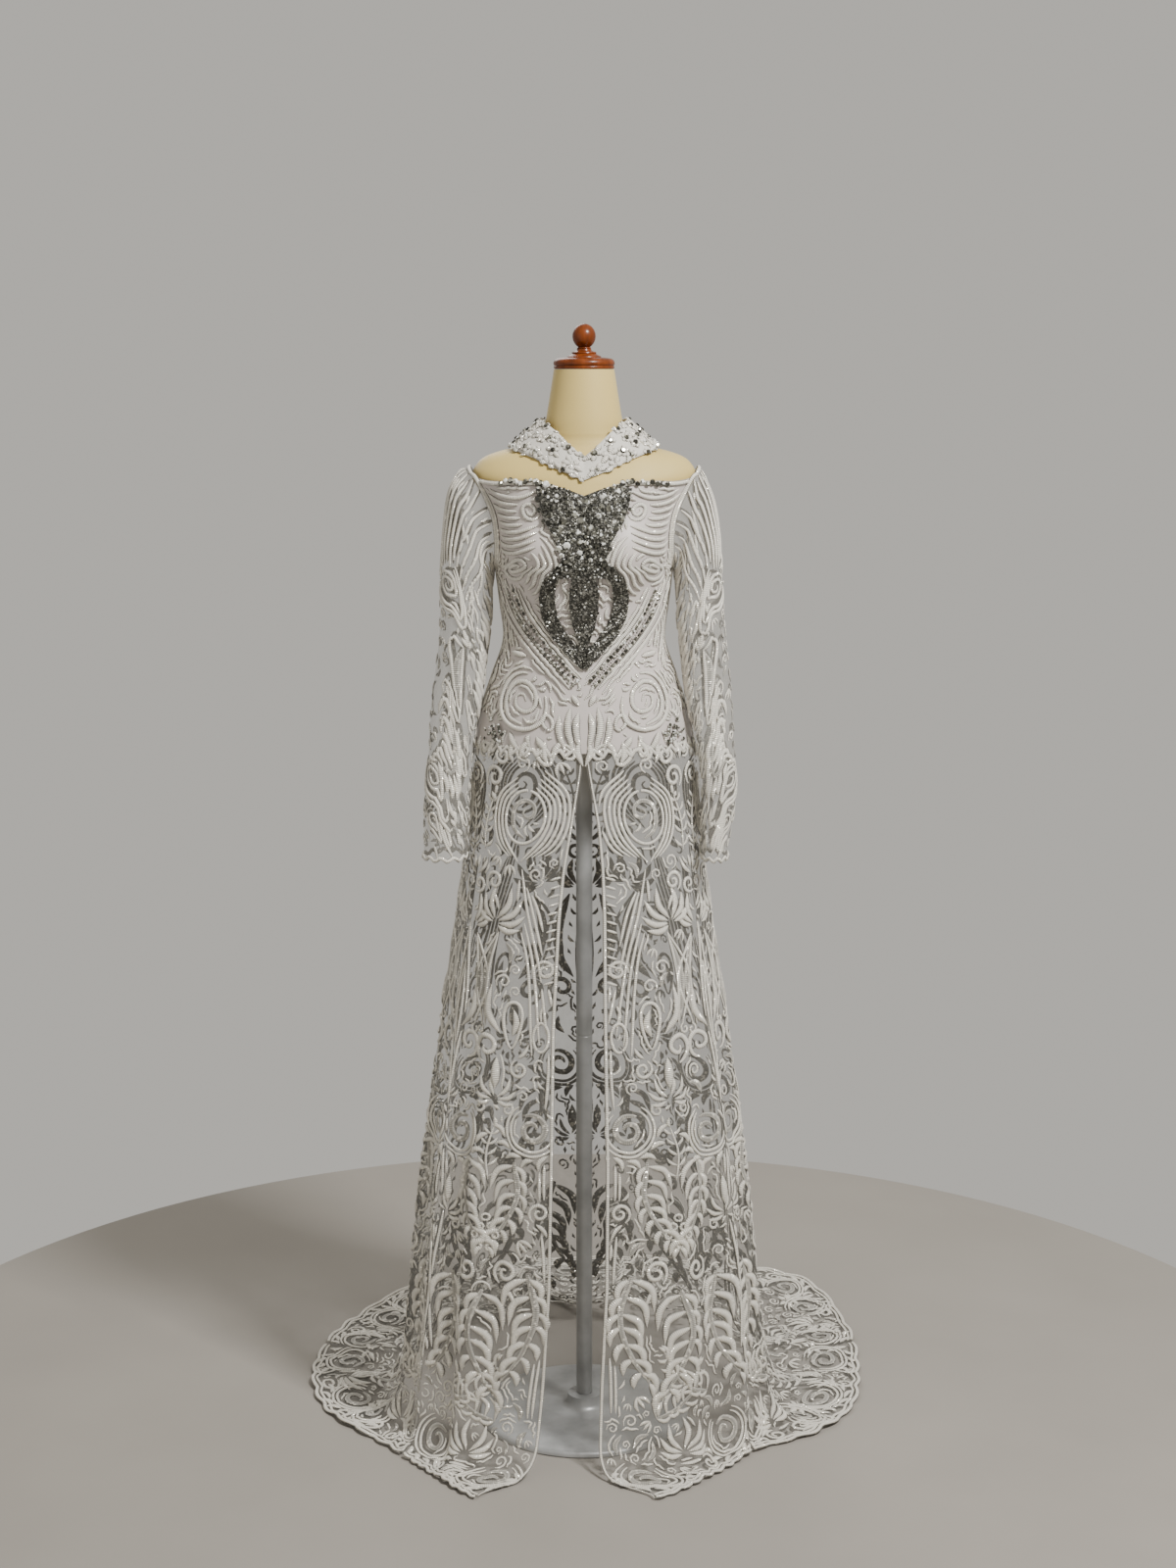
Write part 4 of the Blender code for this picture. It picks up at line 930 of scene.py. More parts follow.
class Shading(Nodes):
    """A material's node tree."""

    def __init__(self, name):
        self.material = bpy.data.materials.new(name)
        self.material.use_nodes = True
        self.tree = self.material.node_tree
        self.shader = self.tree.nodes["Principled BSDF"]

    def set(self, **values):
        for key, value in values.items():
            self.feed(self.shader.inputs[key.replace("_", " ")], value)

    def place(self):
        return self.node("ShaderNodeTexCoord").outputs["Object"]

    def attribute(self, name):
        return self.node("ShaderNodeAttribute", attribute_name=name).outputs["Fac"]

    def noise(self, scale, detail, vector=None):
        inputs = {"Scale": scale, "Detail": detail, "Vector": vector or self.place()}
        return self.node("ShaderNodeTexNoise", inputs).outputs["Fac"]

    def cells(self, scale, vector=None):
        """Cell noise: each cell's tone, and the distance from its middle."""
        node = self.node("ShaderNodeTexVoronoi", {"Scale": scale, "Vector": vector or self.place()})
        tone = self.node("ShaderNodeSeparateColor", {0: node.outputs["Color"]}).outputs[0]
        return tone, node.outputs["Distance"]

    def ramp(self, source, stops):
        node = self.node("ShaderNodeValToRGB", {"Fac": source})
        for number, (at, colour) in enumerate(stops):
            element = node.color_ramp.elements[number] if number < 2 else node.color_ramp.elements.new(at)
            element.position = at
            element.color = (*colour, 1.0)
        return node.outputs["Color"]

    def toned(self, source, colour, *stops):
        """Tones of one colour; each stop gives a place on the source and the tone there."""
        return self.ramp(source, [(at, shade(colour, tone)) for at, tone in stops])

    def between(self, source, low, high, start=0.0, end=1.0):
        inputs = {"Value": source, "From Min": start, "From Max": end, "To Min": low, "To Max": high}
        return self.node("ShaderNodeMapRange", inputs).outputs["Result"]

    def math(self, operation, *values):
        return self.node("ShaderNodeMath", enumerate(values), operation=operation).outputs[0]

    def mix(self, factor, first, second):
        sides = [(*side, 1.0) if isinstance(side, tuple) else side for side in (first, second)]
        return self.node("ShaderNodeMix", {0: factor, 6: sides[0], 7: sides[1]}, data_type="RGBA").outputs[2]

    def bump(self, height, strength, distance):
        inputs = {"Strength": strength, "Distance": distance, "Height": height}
        self.set(Normal=self.node("ShaderNodeBump", inputs).outputs["Normal"])


def shade(colour, factor):
    return tuple(min(1.0, channel * factor) for channel in colour)


def small_motifs(pen, trials, seed, sizes_left, low=0.0, high=9.0):
    """Small whole motifs where there is room for them, the largest first."""
    chance = np.random.default_rng(seed)
    for clear in sizes_left:
        for _ in range(trials):
            share, down, across, _ = random_spot(pen, chance, low, high)
            if pen.room_at(across, down) < clear * 1.04:
                continue
            kind, turn, flip = chance.integers(4), chance.uniform(-50, 50), chance.choice((-1, 1))
            pen.move(share, down, turn + 180 * (kind == 2), flip)
            if kind < 2:
                spiral(pen, (0, 0), clear * 0.80, 1.3, -60, max(clear * 0.17, pen.cord * 0.8), "pad", inner=0.2)
                root, tip = (clear * 0.7, -clear * 0.5), (clear * 0.2, -clear * 1.7)
                leaf_stroke(pen, root, tip, clear * 0.2, -0.2, over=False)
            elif kind == 2:
                for aside in (-0.75, 0.0, 0.75):
                    leaf_stroke(pen, (0, -clear * 0.7), (aside * clear, clear * 0.85), clear * 0.26, bend=-0.2 * aside)
            else:
                root, tip = (-clear * 0.2, -clear), (clear * 0.2, clear * 1.1)
                leaf_stroke(pen, root, tip, clear * 0.34, bend=0.22, kind="band")


def vine(pen, across, low, high, swing, wave):
    """Two long cords that wind down the cloth side by side, with leaves on their bends."""
    cords = 2
    cloth = pen.cloth
    down = np.arange(low, high, 0.006)
    width = cloth.width_at(cloth.row(np.full(len(down), across), down))
    turn = (down - low) / wave * 2 * math.pi
    for number in range(cords):
        aside = swing * np.sin(turn) + (number - (cords - 1) / 2) * pen.cord * 2.5
        pen.lay(across + aside / width, down, over=False)
    for spot in range(2, len(down) - 2, 4):
        for side in (-1, 1):
            aside = swing * math.sin(turn[spot]) + side * pen.cord * (cords + 0.6)
            pen.move(across + aside / width[spot], down[spot])
            leaf_stroke(pen, (0, 0), (side * 0.011, 0.013), 0.0028, bend=-0.2 * side, over=False)


def thread_material():
    """Corded lace: stitches across each cord, dark in the hollows, with clear sequins that glint."""
    if "lace_thread" in bpy.data.materials:
        return bpy.data.materials["lace_thread"]
    m = Shading("lace_thread")
    thread = colours().thread
    twist = m.math("SINE", m.math("MULTIPLY", m.attribute("along"), 2300.0))
    # Random cells mark the sequins; they are made shinier and part metal, and given a paler colour that is a painted
    # glint.
    glint = m.between(m.cells(300.0)[0], 0.0, 1.0, 0.85, 0.88)
    patch = m.toned(m.noise(14.0, 3.0), thread, (0.3, 0.90), (0.7, 1.08))
    # Painted shade: thin darker bands across the cords where the stitch bump is lowest, in the grooves between
    # stitches.
    mottled_with_groove_shade = m.mix(m.between(twist, 0.0, 1.0, -1.0, -0.3), shade(thread, 0.80), patch)
    # Painted shade: the thread turns dark towards the foot of each cord, where it meets the cloth.
    painted_hollow_shade = m.mix(m.between(m.attribute("rise"), 0.0, 1.0, 0.02, 0.56), shade(thread, 0.17), mottled_with_groove_shade)
    m.set(
        Base_Color=m.mix(glint, painted_hollow_shade, shade(thread, 1.3)), Roughness=m.between(glint, 0.60, 0.15),
        Metallic=m.math("MULTIPLY", glint, 0.5), Sheen_Weight=0.12, Sheen_Roughness=0.4,
    )
    m.bump(m.math("ADD", twist, m.noise(800.0, 2.0)), 0.6, 0.0006)
    return m.material


def tulle_material(name, alpha, tone=1.0):
    """Fine net: mostly clear, and thicker where it gathers."""
    m = Shading(name)
    m.set(
        Base_Color=m.toned(m.noise(9.0, 2.0), colours().tulle, (0.3, 0.92 * tone), (0.7, 1.05 * tone)),
        Alpha=m.between(m.noise(60.0, 3.0), alpha * 0.8, alpha * 1.25, 0.3, 0.7),
        Roughness=0.75, Sheen_Weight=0.3, Sheen_Roughness=0.5,
    )
    m.bump(m.noise(700.0, 1.0), 0.2, 0.0004)
    return m.material


def satin_material():
    m = Shading("satin_lining")
    # The satin colour is darker than the real lining: painted shade between the cords that lie on it.
    base = m.toned(m.noise(7.0, 2.0), colours().satin, (0.3, 0.94), (0.7, 1.04))
    m.set(Base_Color=base, Roughness=0.42, Sheen_Weight=0.2, Anisotropic=0.4)
    m.bump(m.math("ADD", m.noise(22.0, 2.0), m.math("MULTIPLY", m.noise(1400.0, 1.0), 0.05)), 0.35, 0.004)
    return m.material


def stone_material():
    """Foil-backed stones: every facet has its own tone, from near white to dark grey."""
    if "silver_stones" in bpy.data.materials:
        return bpy.data.materials["silver_stones"]
    m = Shading("silver_stones")
    stone = colours().stone
    tone = m.attribute("tone")
    normal = m.node("ShaderNodeNewGeometry").outputs["True Normal"]
    turned = m.node(
        "ShaderNodeVectorMath", {0: normal, 1: (2.2, 2.2, 2.2), 2: m.math("MULTIPLY", tone, 31.0)},
        operation="MULTIPLY_ADD",
    )
    # Painted reflection: each of the facets gets its own tone by the way it faces, like the foil's reflections.
    facet_reflection_tone = m.cells(1.0, turned.outputs[0])[0]
    tone_and_reflection = m.math("ADD", m.math("MULTIPLY", tone, 0.5), m.math("MULTIPLY", facet_reflection_tone, 0.5))
    # Dark grey up to near white: the upper stops are painted reflections and glints.
    base = m.ramp(tone_and_reflection, (
        (0.16, shade(stone, 0.10)), (0.50, shade(stone, 0.45)), (0.66, shade(stone, 1.2)), (0.84, (0.97, 0.97, 0.92)),
    ))
    m.set(
        Base_Color=base, Roughness=m.between(m.noise(500.0, 1.0), 0.08, 0.22),
        Metallic=m.between(tone_and_reflection, 0.85, 0.25, 0.35, 0.75), Coat_Weight=0.5, Coat_Roughness=0.05,
    )
    return m.material


def beaded_material():
    """Dark beaded ground between the large stones."""
    m = Shading("beaded_ground")
    tone, distance = m.cells(420.0)
    # Painted shade: the ground is near black, for the shade in the gaps between the stones.
    base = m.ramp(tone, ((0.1, (0.020, 0.019, 0.015)), (0.6, (0.055, 0.052, 0.042)), (0.95, (0.22, 0.21, 0.18))))
    m.set(Base_Color=base, Roughness=m.between(tone, 0.50, 0.22), Metallic=0.5)
    m.bump(distance, 0.8, 0.0015)
    return m.material


def cover_material():
    m = Shading("form_cover")
    m.set(
        Base_Color=m.toned(m.noise(5.0, 4.0), colours().cover, (0.28, 0.90), (0.72, 1.07)),
        Roughness=m.between(m.noise(30.0, 3.0), 0.50, 0.68), Sheen_Weight=0.25, Sheen_Roughness=0.45,
    )
    knit = m.node(
        "ShaderNodeTexWave", {"Scale": 420.0, "Distortion": 1.5, "Vector": m.place()},
        wave_type="BANDS", bands_direction="DIAGONAL",
    )
    m.bump(m.math("ADD", knit.outputs["Fac"], m.noise(40.0, 2.0)), 0.14, 0.0005)
    return m.material


def wood_material():
    m = Shading("varnished_wood")
    stretch = m.node("ShaderNodeMapping", {"Scale": (40.0, 40.0, 9.0), "Vector": m.place()})
    grain = m.noise(3.0, 6.0, stretch.outputs["Vector"])
    m.set(
        Base_Color=m.toned(grain, colours().wood, (0.3, 0.6), (0.55, 1.0), (0.75, 1.4)),
        Roughness=m.between(grain, 0.30, 0.42), Coat_Weight=0.22, Coat_Roughness=0.20, IOR=1.45,
        Specular_IOR_Level=0.20,
    )
    m.bump(grain, 0.05, 0.0006)
    return m.material


def steel_material():
    m = Shading("stand_paint")
    base = m.toned(m.noise(18.0, 4.0), colours().steel, (0.3, 0.8), (0.7, 1.25))
    m.set(Base_Color=base, Roughness=m.between(m.noise(60.0, 3.0), 0.32, 0.5), Metallic=0.4)
    m.bump(m.noise(600.0, 2.0), 0.08, 0.0003)
    return m.material


class Tree(Nodes):
    """A Geometry Nodes tree with named inputs."""

    def __init__(self, name, inputs):
        self.tree = bpy.data.node_groups.new(name, "GeometryNodeTree")
        faces = self.tree.interface
        faces.new_socket("Geometry", in_out="INPUT", socket_type="NodeSocketGeometry")
        self.ids = {key: faces.new_socket(key, in_out="INPUT", socket_type=kind).identifier for key, kind in inputs}
        faces.new_socket("Geometry", in_out="OUTPUT", socket_type="NodeSocketGeometry")
        self.entry = self.node("NodeGroupInput").outputs
        self.exit = self.node("NodeGroupOutput").inputs

    def attribute(self, name, kind="FLOAT"):
        return self.node("GeometryNodeInputNamedAttribute", {"Name": name}, data_type=kind).outputs["Attribute"]

    def store(self, name, geometry, value):
        """A geometry whose points carry the value under a name."""
        inputs = {"Name": name, "Geometry": geometry, "Value": value}
        node = self.node("GeometryNodeStoreNamedAttribute", inputs, data_type="FLOAT", domain="POINT")
        return node.outputs["Geometry"]

    def finish(self, geometry, material):
        """Ends the tree with its instances realized and its material set."""
        real = self.node("GeometryNodeRealizeInstances", {"Geometry": geometry})
        paint = self.node("GeometryNodeSetMaterial", {"Geometry": real.outputs["Geometry"], "Material": material})
        self.feed(self.exit["Geometry"], paint.outputs["Geometry"])

    def run(self, mesh, name, values):
        """The tree's result on a mesh, as a plain mesh."""
        holder = put(name, mesh)
        modifier = holder.modifiers.new(name, "NODES")
        modifier.node_group = self.tree
        for key, value in values.items():
            modifier[self.ids[key]] = value
        graph = bpy.context.evaluated_depsgraph_get()
        result = bpy.data.meshes.new_from_object(holder.evaluated_get(graph))
        bpy.data.objects.remove(holder)
        bpy.data.meshes.remove(mesh)
        return result


def cord_tree():
    """Sweeps a cord's section along every stroke."""
    if "Corded lace" in TREES:
        return TREES["Corded lace"]
    t = Tree("Corded lace", (
        ("Section", "NodeSocketObject"), ("Thickness", "NodeSocketFloat"), ("Thread", "NodeSocketMaterial"),
    ))
    path = t.node("GeometryNodeMeshToCurve", {"Mesh": t.entry["Geometry"]}).outputs["Curve"]
    up = t.attribute("up", "FLOAT_VECTOR")
    stand = t.node("GeometryNodeSetCurveNormal", {"Curve": path, "Normal": up}, mode="FREE")
    reach = t.node("GeometryNodeSplineParameter").outputs["Length"]
    section = t.node("GeometryNodeObjectInfo", {"Object": t.entry["Section"]}).outputs["Geometry"]
    apart = t.node("ShaderNodeSeparateXYZ", {0: t.node("GeometryNodeInputPosition").outputs["Position"]})
    grow = t.node("ShaderNodeMath", {0: t.attribute("half_width"), 1: t.entry["Thickness"]}, operation="MULTIPLY")
    # The sweep keeps each section point's rise, which the thread material turns into painted shade at the foot of each
    # cord.
    sweep = t.node("GeometryNodeCurveToMesh", {
        "Curve": t.store("along", stand.outputs["Curve"], reach),
        "Profile Curve": t.store("rise", section, apart.outputs["X"]),
        "Scale": grow.outputs[0], "Fill Caps": True,
    })
    soft = t.node("GeometryNodeSetShadeSmooth", {"Geometry": sweep.outputs["Mesh"]})
    t.finish(soft.outputs["Geometry"], t.entry["Thread"])
    TREES["Corded lace"] = t
    return t


def stone_tree():
    """Sets a cut stone on every point, turned by a fixed seed."""
    if "Set stones" in TREES:
        return TREES["Set stones"]
    t = Tree("Set stones", (("Stone", "NodeSocketMaterial"), ("Facets", "NodeSocketInt"), ("Seed", "NodeSocketInt")))
    crown = t.node("GeometryNodeMeshCone", {
        "Vertices": t.entry["Facets"], "Radius Top": 0.52, "Radius Bottom": 1.0, "Depth": 0.55,
    })
    stand = t.node("FunctionNodeAlignRotationToVector", {"Vector": t.attribute("up", "FLOAT_VECTOR")}, axis="Z")
    spin = t.node("FunctionNodeRandomValue", {3: LAST_SPIN, "Seed": t.entry["Seed"]}, data_type="FLOAT")
    euler = t.node("ShaderNodeCombineXYZ", {"Z": spin.outputs[1]})
    turn = t.node(
        "FunctionNodeRotateRotation", {"Rotation": stand.outputs["Rotation"], "Rotate By": euler.outputs[0]},
        rotation_space="LOCAL",
    )
    place = t.node("GeometryNodeInstanceOnPoints", {
        "Points": t.entry["Geometry"], "Instance": crown.outputs["Mesh"], "Rotation": turn.outputs["Rotation"],
        "Scale": t.attribute("half_width"),
    })
    t.finish(place.outputs["Instances"], t.entry["Stone"])
    TREES["Set stones"] = t
    return t


TREES = {}
SECTIONS = {
    # rise and place across, for a half width of 1
    "cord": ((0.0, -1.0), (0.85, -0.58), (0.85, 0.58), (0.0, 1.0)),
    "pad": ((0.0, -1.0), (0.42, -0.72), (0.62, 0.0), (0.42, 0.72), (0.0, 1.0)),
    "band": ((0.0, -1.0), (0.36, -0.74), (0.16, 0.0), (0.36, 0.74), (0.0, 1.0)),
}


def section_object(points):
    """A closed section that the cord tree sweeps; it is removed afterwards."""
    curve = bpy.data.curves.new("section", "CURVE")
    curve.dimensions = "3D"
    spline = curve.splines.new("POLY")
    spline.points.add(len(points) - 1)
    spline.use_cyclic_u = True
    for point, (rise, side) in zip(spline.points, points):
        point.co = (rise, side, 0.0, 1.0)
    return put("section", curve)


def marked_mesh(points, edges, up, **values):
    """Points that carry their up direction and other values for a node tree."""
    mesh = new_mesh(points, edges=edges)
    mesh.attributes.new("up", "FLOAT_VECTOR", "POINT").data.foreach_set("vector", up.ravel())
    for name, numbers in values.items():
        mesh.attributes.new(name, "FLOAT", "POINT").data.foreach_set("value", numbers)
    return mesh


def stroke_mesh(strokes):
    """The strokes as polylines that carry their up direction and half width."""
    places, up, half = (np.concatenate([stroke[part] for stroke in strokes]) for part in range(3))
    starts = set(np.cumsum([len(stroke[0]) for stroke in strokes]).tolist())
    edges = [(spot - 1, spot) for spot in range(1, len(places)) if spot not in starts]
    return marked_mesh(places, edges, up, half_width=half)


def join_meshes(meshes):
    """One mesh of several, with their attributes."""
    holders = [put("part", mesh) for mesh in meshes]
    with bpy.context.temp_override(active_object=holders[0], selected_editable_objects=holders):
        bpy.ops.object.join()
    mesh = holders[0].data
    bpy.data.objects.remove(holders[0])
    return mesh


def lace_piece(name, strokes, replaces=()):
    """All strokes of one panel swept into cords, pads and bands."""
    results = []
    for kind, section in SECTIONS.items():
        chosen = [stroke for stroke in strokes if stroke[3] == kind]
        if not chosen:
            continue
        holder = section_object(section)
        values = {"Section": holder, "Thickness": 1.0, "Thread": thread_material()}
        results.append(cord_tree().run(stroke_mesh(chosen), name, values))
        bpy.data.curves.remove(holder.data)
    mesh = results[0] if len(results) == 1 else join_meshes(results)
    return new_piece(name, mesh, thread_material(), replaces)


def stones_piece(name, spots, seed, replaces=()):
    """Cut stones at spots of (place, up, radius)."""
    places, up, half = (np.array([spot[part] for spot in spots], float) for part in range(3))
    tone = np.random.default_rng(seed).random(len(spots))
    mesh = marked_mesh(places, (), up, half_width=half, tone=tone)
    result = stone_tree().run(mesh, name, {"Stone": stone_material(), "Facets": STONE_FACETS, "Seed": seed})
    return new_piece(name, result, stone_material(), replaces)


def tube_mesh(rings, crease=180):
    """A closed solid of rings of points, with sharp edges where it turns by more than the crease."""
    rings = np.asarray(rings)
    rows, columns = rings.shape[:2]
    first, last = range(columns), range((rows - 1) * columns, rows * columns)
    mesh = new_mesh(rings.reshape(-1, 3), [tuple(first)[::-1], *grid_faces(rows, columns, True), tuple(last)])
    mesh.set_sharp_from_angle(angle=math.radians(crease))
    return mesh


def turned_mesh(profile, sides):
    """A closed solid turned about the vertical axis through (radius, height) points."""
    turn = np.arange(sides) * 2 * math.pi / sides
    return tube_mesh([
        [(radius * math.sin(t), -radius * math.cos(t), height) for t in turn] for radius, height in profile
    ], 38)


# ---- Pieces


def draw_motifs(pen, table, from_hem=False):
    """Draws a table's motifs, side by side as often as the cloth is wide enough."""
    cloth = pen.cloth
    for motif, across, level, size, turn, flip in table:
        if from_hem:
            width = float(cloth.width[-1])
        else:
            down = cloth.down_of_height(0.5, level)
            width = float(cloth.width_at(cloth.row(np.array([0.5]), np.array([down]))[0]))
        times = max(1, round(width / REPEAT_WIDTH))
        for number in range(times):
            share = (across + number) / times
            if from_hem:
                down = float(cloth.down[-1, int(cloth.column(share))]) - level
            else:
                down = cloth.down_of_height(share, level)
            pen.move(share, down, turn, flip)
            MOTIFS[motif](pen, size)


def edge_cords(pen, distances, start, side=0, width=None):
    """Cords that follow a side edge of the cloth at set distances."""
    cloth = pen.cloth
    last = float(cloth.down[-1, 0 if side == 0 else -1])
    down = np.arange(start + 0.001, last - 0.001, 0.008)
    for distance in distances:
        share = np.zeros(len(down))
        for _ in range(2):
            row = cloth.row(share if side == 0 else 1 - share, down)
            share = distance / cloth.width_at(row)
        pen.lay(share if side == 0 else 1 - share, down, width)


def level_cords(pen, distances, from_end=True, width=None, wave=0.0, kind="cord"):
    """Cords that follow the hem, or the top edge, at set distances."""
    cloth = pen.cloth
    share = np.linspace(0, 1, max(8, int(float(cloth.width[-1 if from_end else 0]) / 0.006)))
    column = np.round(cloth.column(share)).astype(int) % cloth.columns
    for distance in distances:
        ripple = wave * np.sin(share * math.pi * 24)
        down = cloth.down[-1, column] - distance + ripple if from_end else distance + ripple
        pen.lay(share, down, width, kind, ends=0.9)


def build_form():
    """The form's cover, its wooden cap and knob, and the stand."""
    angles = np.arange(0, 360, 3.0)
    keys = np.concatenate([
        np.linspace(FORM_BOTTOM_HEIGHT, 1.43, 50), np.linspace(1.436, 1.53, 34),
        np.linspace(1.535, NECK_TOP_HEIGHT - 0.0003, 26),
    ])
    grid = form_point(angles[None, :], keys[:, None])
    groove = GROOVE["depth"] * np.exp(-(((keys - GROOVE["height"]) / GROOVE["spread"]) ** 2))
    grid[..., :2] -= unit(grid[..., :2]) * groove[:, None, None]
    new_piece("form_cover", tube_mesh(grid, 50), cover_material(), ("form_body",))
    rim = NECK_TOP_HEIGHT
    cap = [(radius, rim + rise) for radius, rise in CAP_PROFILE]
    foot, half = rim + 0.0293, (TOP_HEIGHT - rim - 0.0293) / 2
    knob = [(0.0098, foot), (0.0106, foot + 0.0012), (0.0100, foot + 0.0022)]
    for step in range(3, 20):
        turn = math.pi * step / 20
        knob.append((0.0172 * math.sin(turn), foot + half - half * math.cos(turn)))
    knob.append((0.0012, TOP_HEIGHT))
    outer, thin = BASE_RADIUS, POLE_RADIUS
    base = (
        (outer - 0.0015, 0.0), (outer, 0.0015), (outer, 0.0052), (outer - 0.0022, 0.0082),
        (outer - 0.0070, 0.0100), (0.060, 0.0130), (0.036, 0.0142), (0.0305, 0.0170), (0.0275, 0.0220),
        (0.0262, 0.0335), (0.0225, 0.0340),
    )
    low, high = 0.0343, FORM_BOTTOM_HEIGHT - 0.0003
    pole = (
        (thin - 0.0005, low), (thin, low + 0.001), (thin, 0.62), (thin - 0.0004, 0.6205),
        (thin - 0.0004, 0.6225), (thin, 0.623), (thin, high - 0.001), (thin - 0.0005, high),
    )
    wood, steel = wood_material(), steel_material()
    for node, ending, profile, sides, material, slot in (
        ("neck_cap", "_turned", cap, 64, wood, "varnished_wood"),
        ("finial_knob", "_turned", knob, 64, wood, "varnished_wood"),
        ("stand_base", "_pressed", base, 96, steel, "grey_steel"),
        ("stand_pole", "_tube", pole, 40, steel, "grey_steel"),
    ):
        new_piece(node + ending, turned_mesh(profile, sides), material, (node,))


def armhole(height):
    return smooth(ARMHOLE_EDGE, height)


def bodice_cloth(middle, side, over_seam=False):
    """The fine surface of one bodice panel, from the neckline down and from the middle to the side.

    over_seam carries it on over the overskirt's top, for the lace that hangs across the seam.
    """
    sign = math.copysign(1, side - middle)
    shares = np.linspace(0, 1, 61)
    keys = np.concatenate([np.linspace(HIP_SEAM_HEIGHT, 1.340, 56), np.linspace(1.344, SHOULDER_FOOT, 22)])
    rows = []
    for row in (0.46, 0.36, 0.26, 0.16, 0.06) if over_seam else ():
        angles = middle + sign * shares * 90
        rows.append(skirt_point(angles, np.full(len(shares), row), SKIRT_LIFT + 0.0012))
    for height in keys:
        angles = middle + sign * shares * (90 - armhole(height))
        rows.append(off_form(angles, np.full(len(shares), height), BODICE_OUTSIDE))
    angles = middle + sign * shares * (90 - armhole(SHOULDER_FOOT))
    top = smooth(NECKLINE, np.abs(angles))
    for part in np.linspace(0.14, 1.0, 8):
        rows.append(off_form(angles, SHOULDER_FOOT + (top - SHOULDER_FOOT) * part, BODICE_OUTSIDE))
    return Cloth(np.array(rows[::-1]))


def lay_seen(pen, points, width=None, kind="cord"):
    """A stroke on a bodice panel, given by x and height as seen from the front or the back."""
    path = through(points)
    angle = seen_angle(path[:, 0], path[:, 1])
    share = angle / (90 - armhole(np.maximum(path[:, 1], ARMHOLE_FOOT)))
    down = np.array([pen.cloth.down_of_height(np.clip(a, 0, 1), b) for a, b in zip(share, path[:, 1])])
    half = pen.cord if width is None else width
    if kind == "pad":
        half = half * np.sin(math.pi * np.linspace(0.10, 0.94, len(path))) ** 0.7
    pen.lay(share, down, half, kind, over=False)


def move_seen(pen, x, height, turn=0.0, flip=1):
    share = float(seen_angle(x, height) / (90 - armhole(max(height, ARMHOLE_FOOT))))
    pen.move(share, pen.cloth.down_of_height(share, height), turn, flip)


def draw_bodice(pen, front):
    """One panel's lace: swags, the bust's swirl, cords to the waist, the hip's medallion and edging."""
    cord = pen.cord
    level_cords(pen, (cord + 0.0006,), from_end=False)
    edge_cords(pen, (cord + 0.0006,), side=1, start=0.01)
    move_seen(pen, 0.078, 1.432)
    spiral(pen, (0, 0), 0.0150, 1.6, 200, 0.0040, "pad", inner=0.2)
    for number in range(9):
        lay_seen(pen, (
            (0.155 - 0.0030 * number, 1.4745 - 0.0100 * number), (0.124 - 0.0015 * number, 1.4540 - 0.0105 * number),
            (0.098, 1.4500 - 0.0100 * number), (0.066, 1.4610 - 0.0100 * number),
        ))
    if front:
        path = np.array(STONE_BAND)
        slope = unit(np.gradient(path, axis=0))
        aside = np.stack([-slope[:, 1], slope[:, 0]], -1)
        aside = np.where(aside[:, 1:] < 0, aside, -aside)
        for distance in (0.0118, 0.0198, -0.0118):
            lay_seen(pen, path + aside * distance)
    move_seen(pen, 0.097, 1.349)
    spiral(pen, (0, 0), 0.028, 2.1, 160, 0.0044, "pad", inner=0.16)
    arcs(pen, (0.036, 0.0445, 0.053, 0.0615), 92, 236)
    arcs(pen, (0.036,), 20, 80)
    move_seen(pen, 0.092, 1.154)
    medallion(pen, 0.039)
    for path in FLAMES:
        lay_seen(pen, path, 0.0046)
    for path in BUST_LEAVES + HIP_LEAVES:
        lay_seen(pen, path, 0.0058, "pad")
    for path in WAIST_CORDS:
        lay_seen(pen, path)
    move_seen(pen, 0.054, 1.124)
    loop(pen, (0, 0), 0.0080, 0.0105, width=0.0030)
    move_seen(pen, 0.132, 1.122, 10)
    fan(pen, 0.034)
    for x, height, radius, turn, flip in HIP_CURLS:
        move_seen(pen, x, height, turn, flip)
        spiral(pen, (0, 0), radius, 1.5, 30, radius * 0.27, "pad", inner=0.2)
    level_cords(pen, (SEAM_OVERLAP,), width=0.0042, wave=0.0062, kind="pad")
    for number in range(20):
        x = 0.008 + 0.0081 * number
        move_seen(pen, x, 1.096, 14 * (-1) ** number)
        leaf_stroke(pen, (0, 0), (0.002, -0.034 - 0.003 * (number % 3)), 0.0054, bend=0.12, over=number % 3 == 0)
    if not front:
        for number in range(9):
            lay_seen(pen, (
                (0.004, 1.425 - 0.026 * number), (0.020, 1.428 - 0.026 * number), (0.036, 1.446 - 0.026 * number),
            ), 0.0052, "pad")


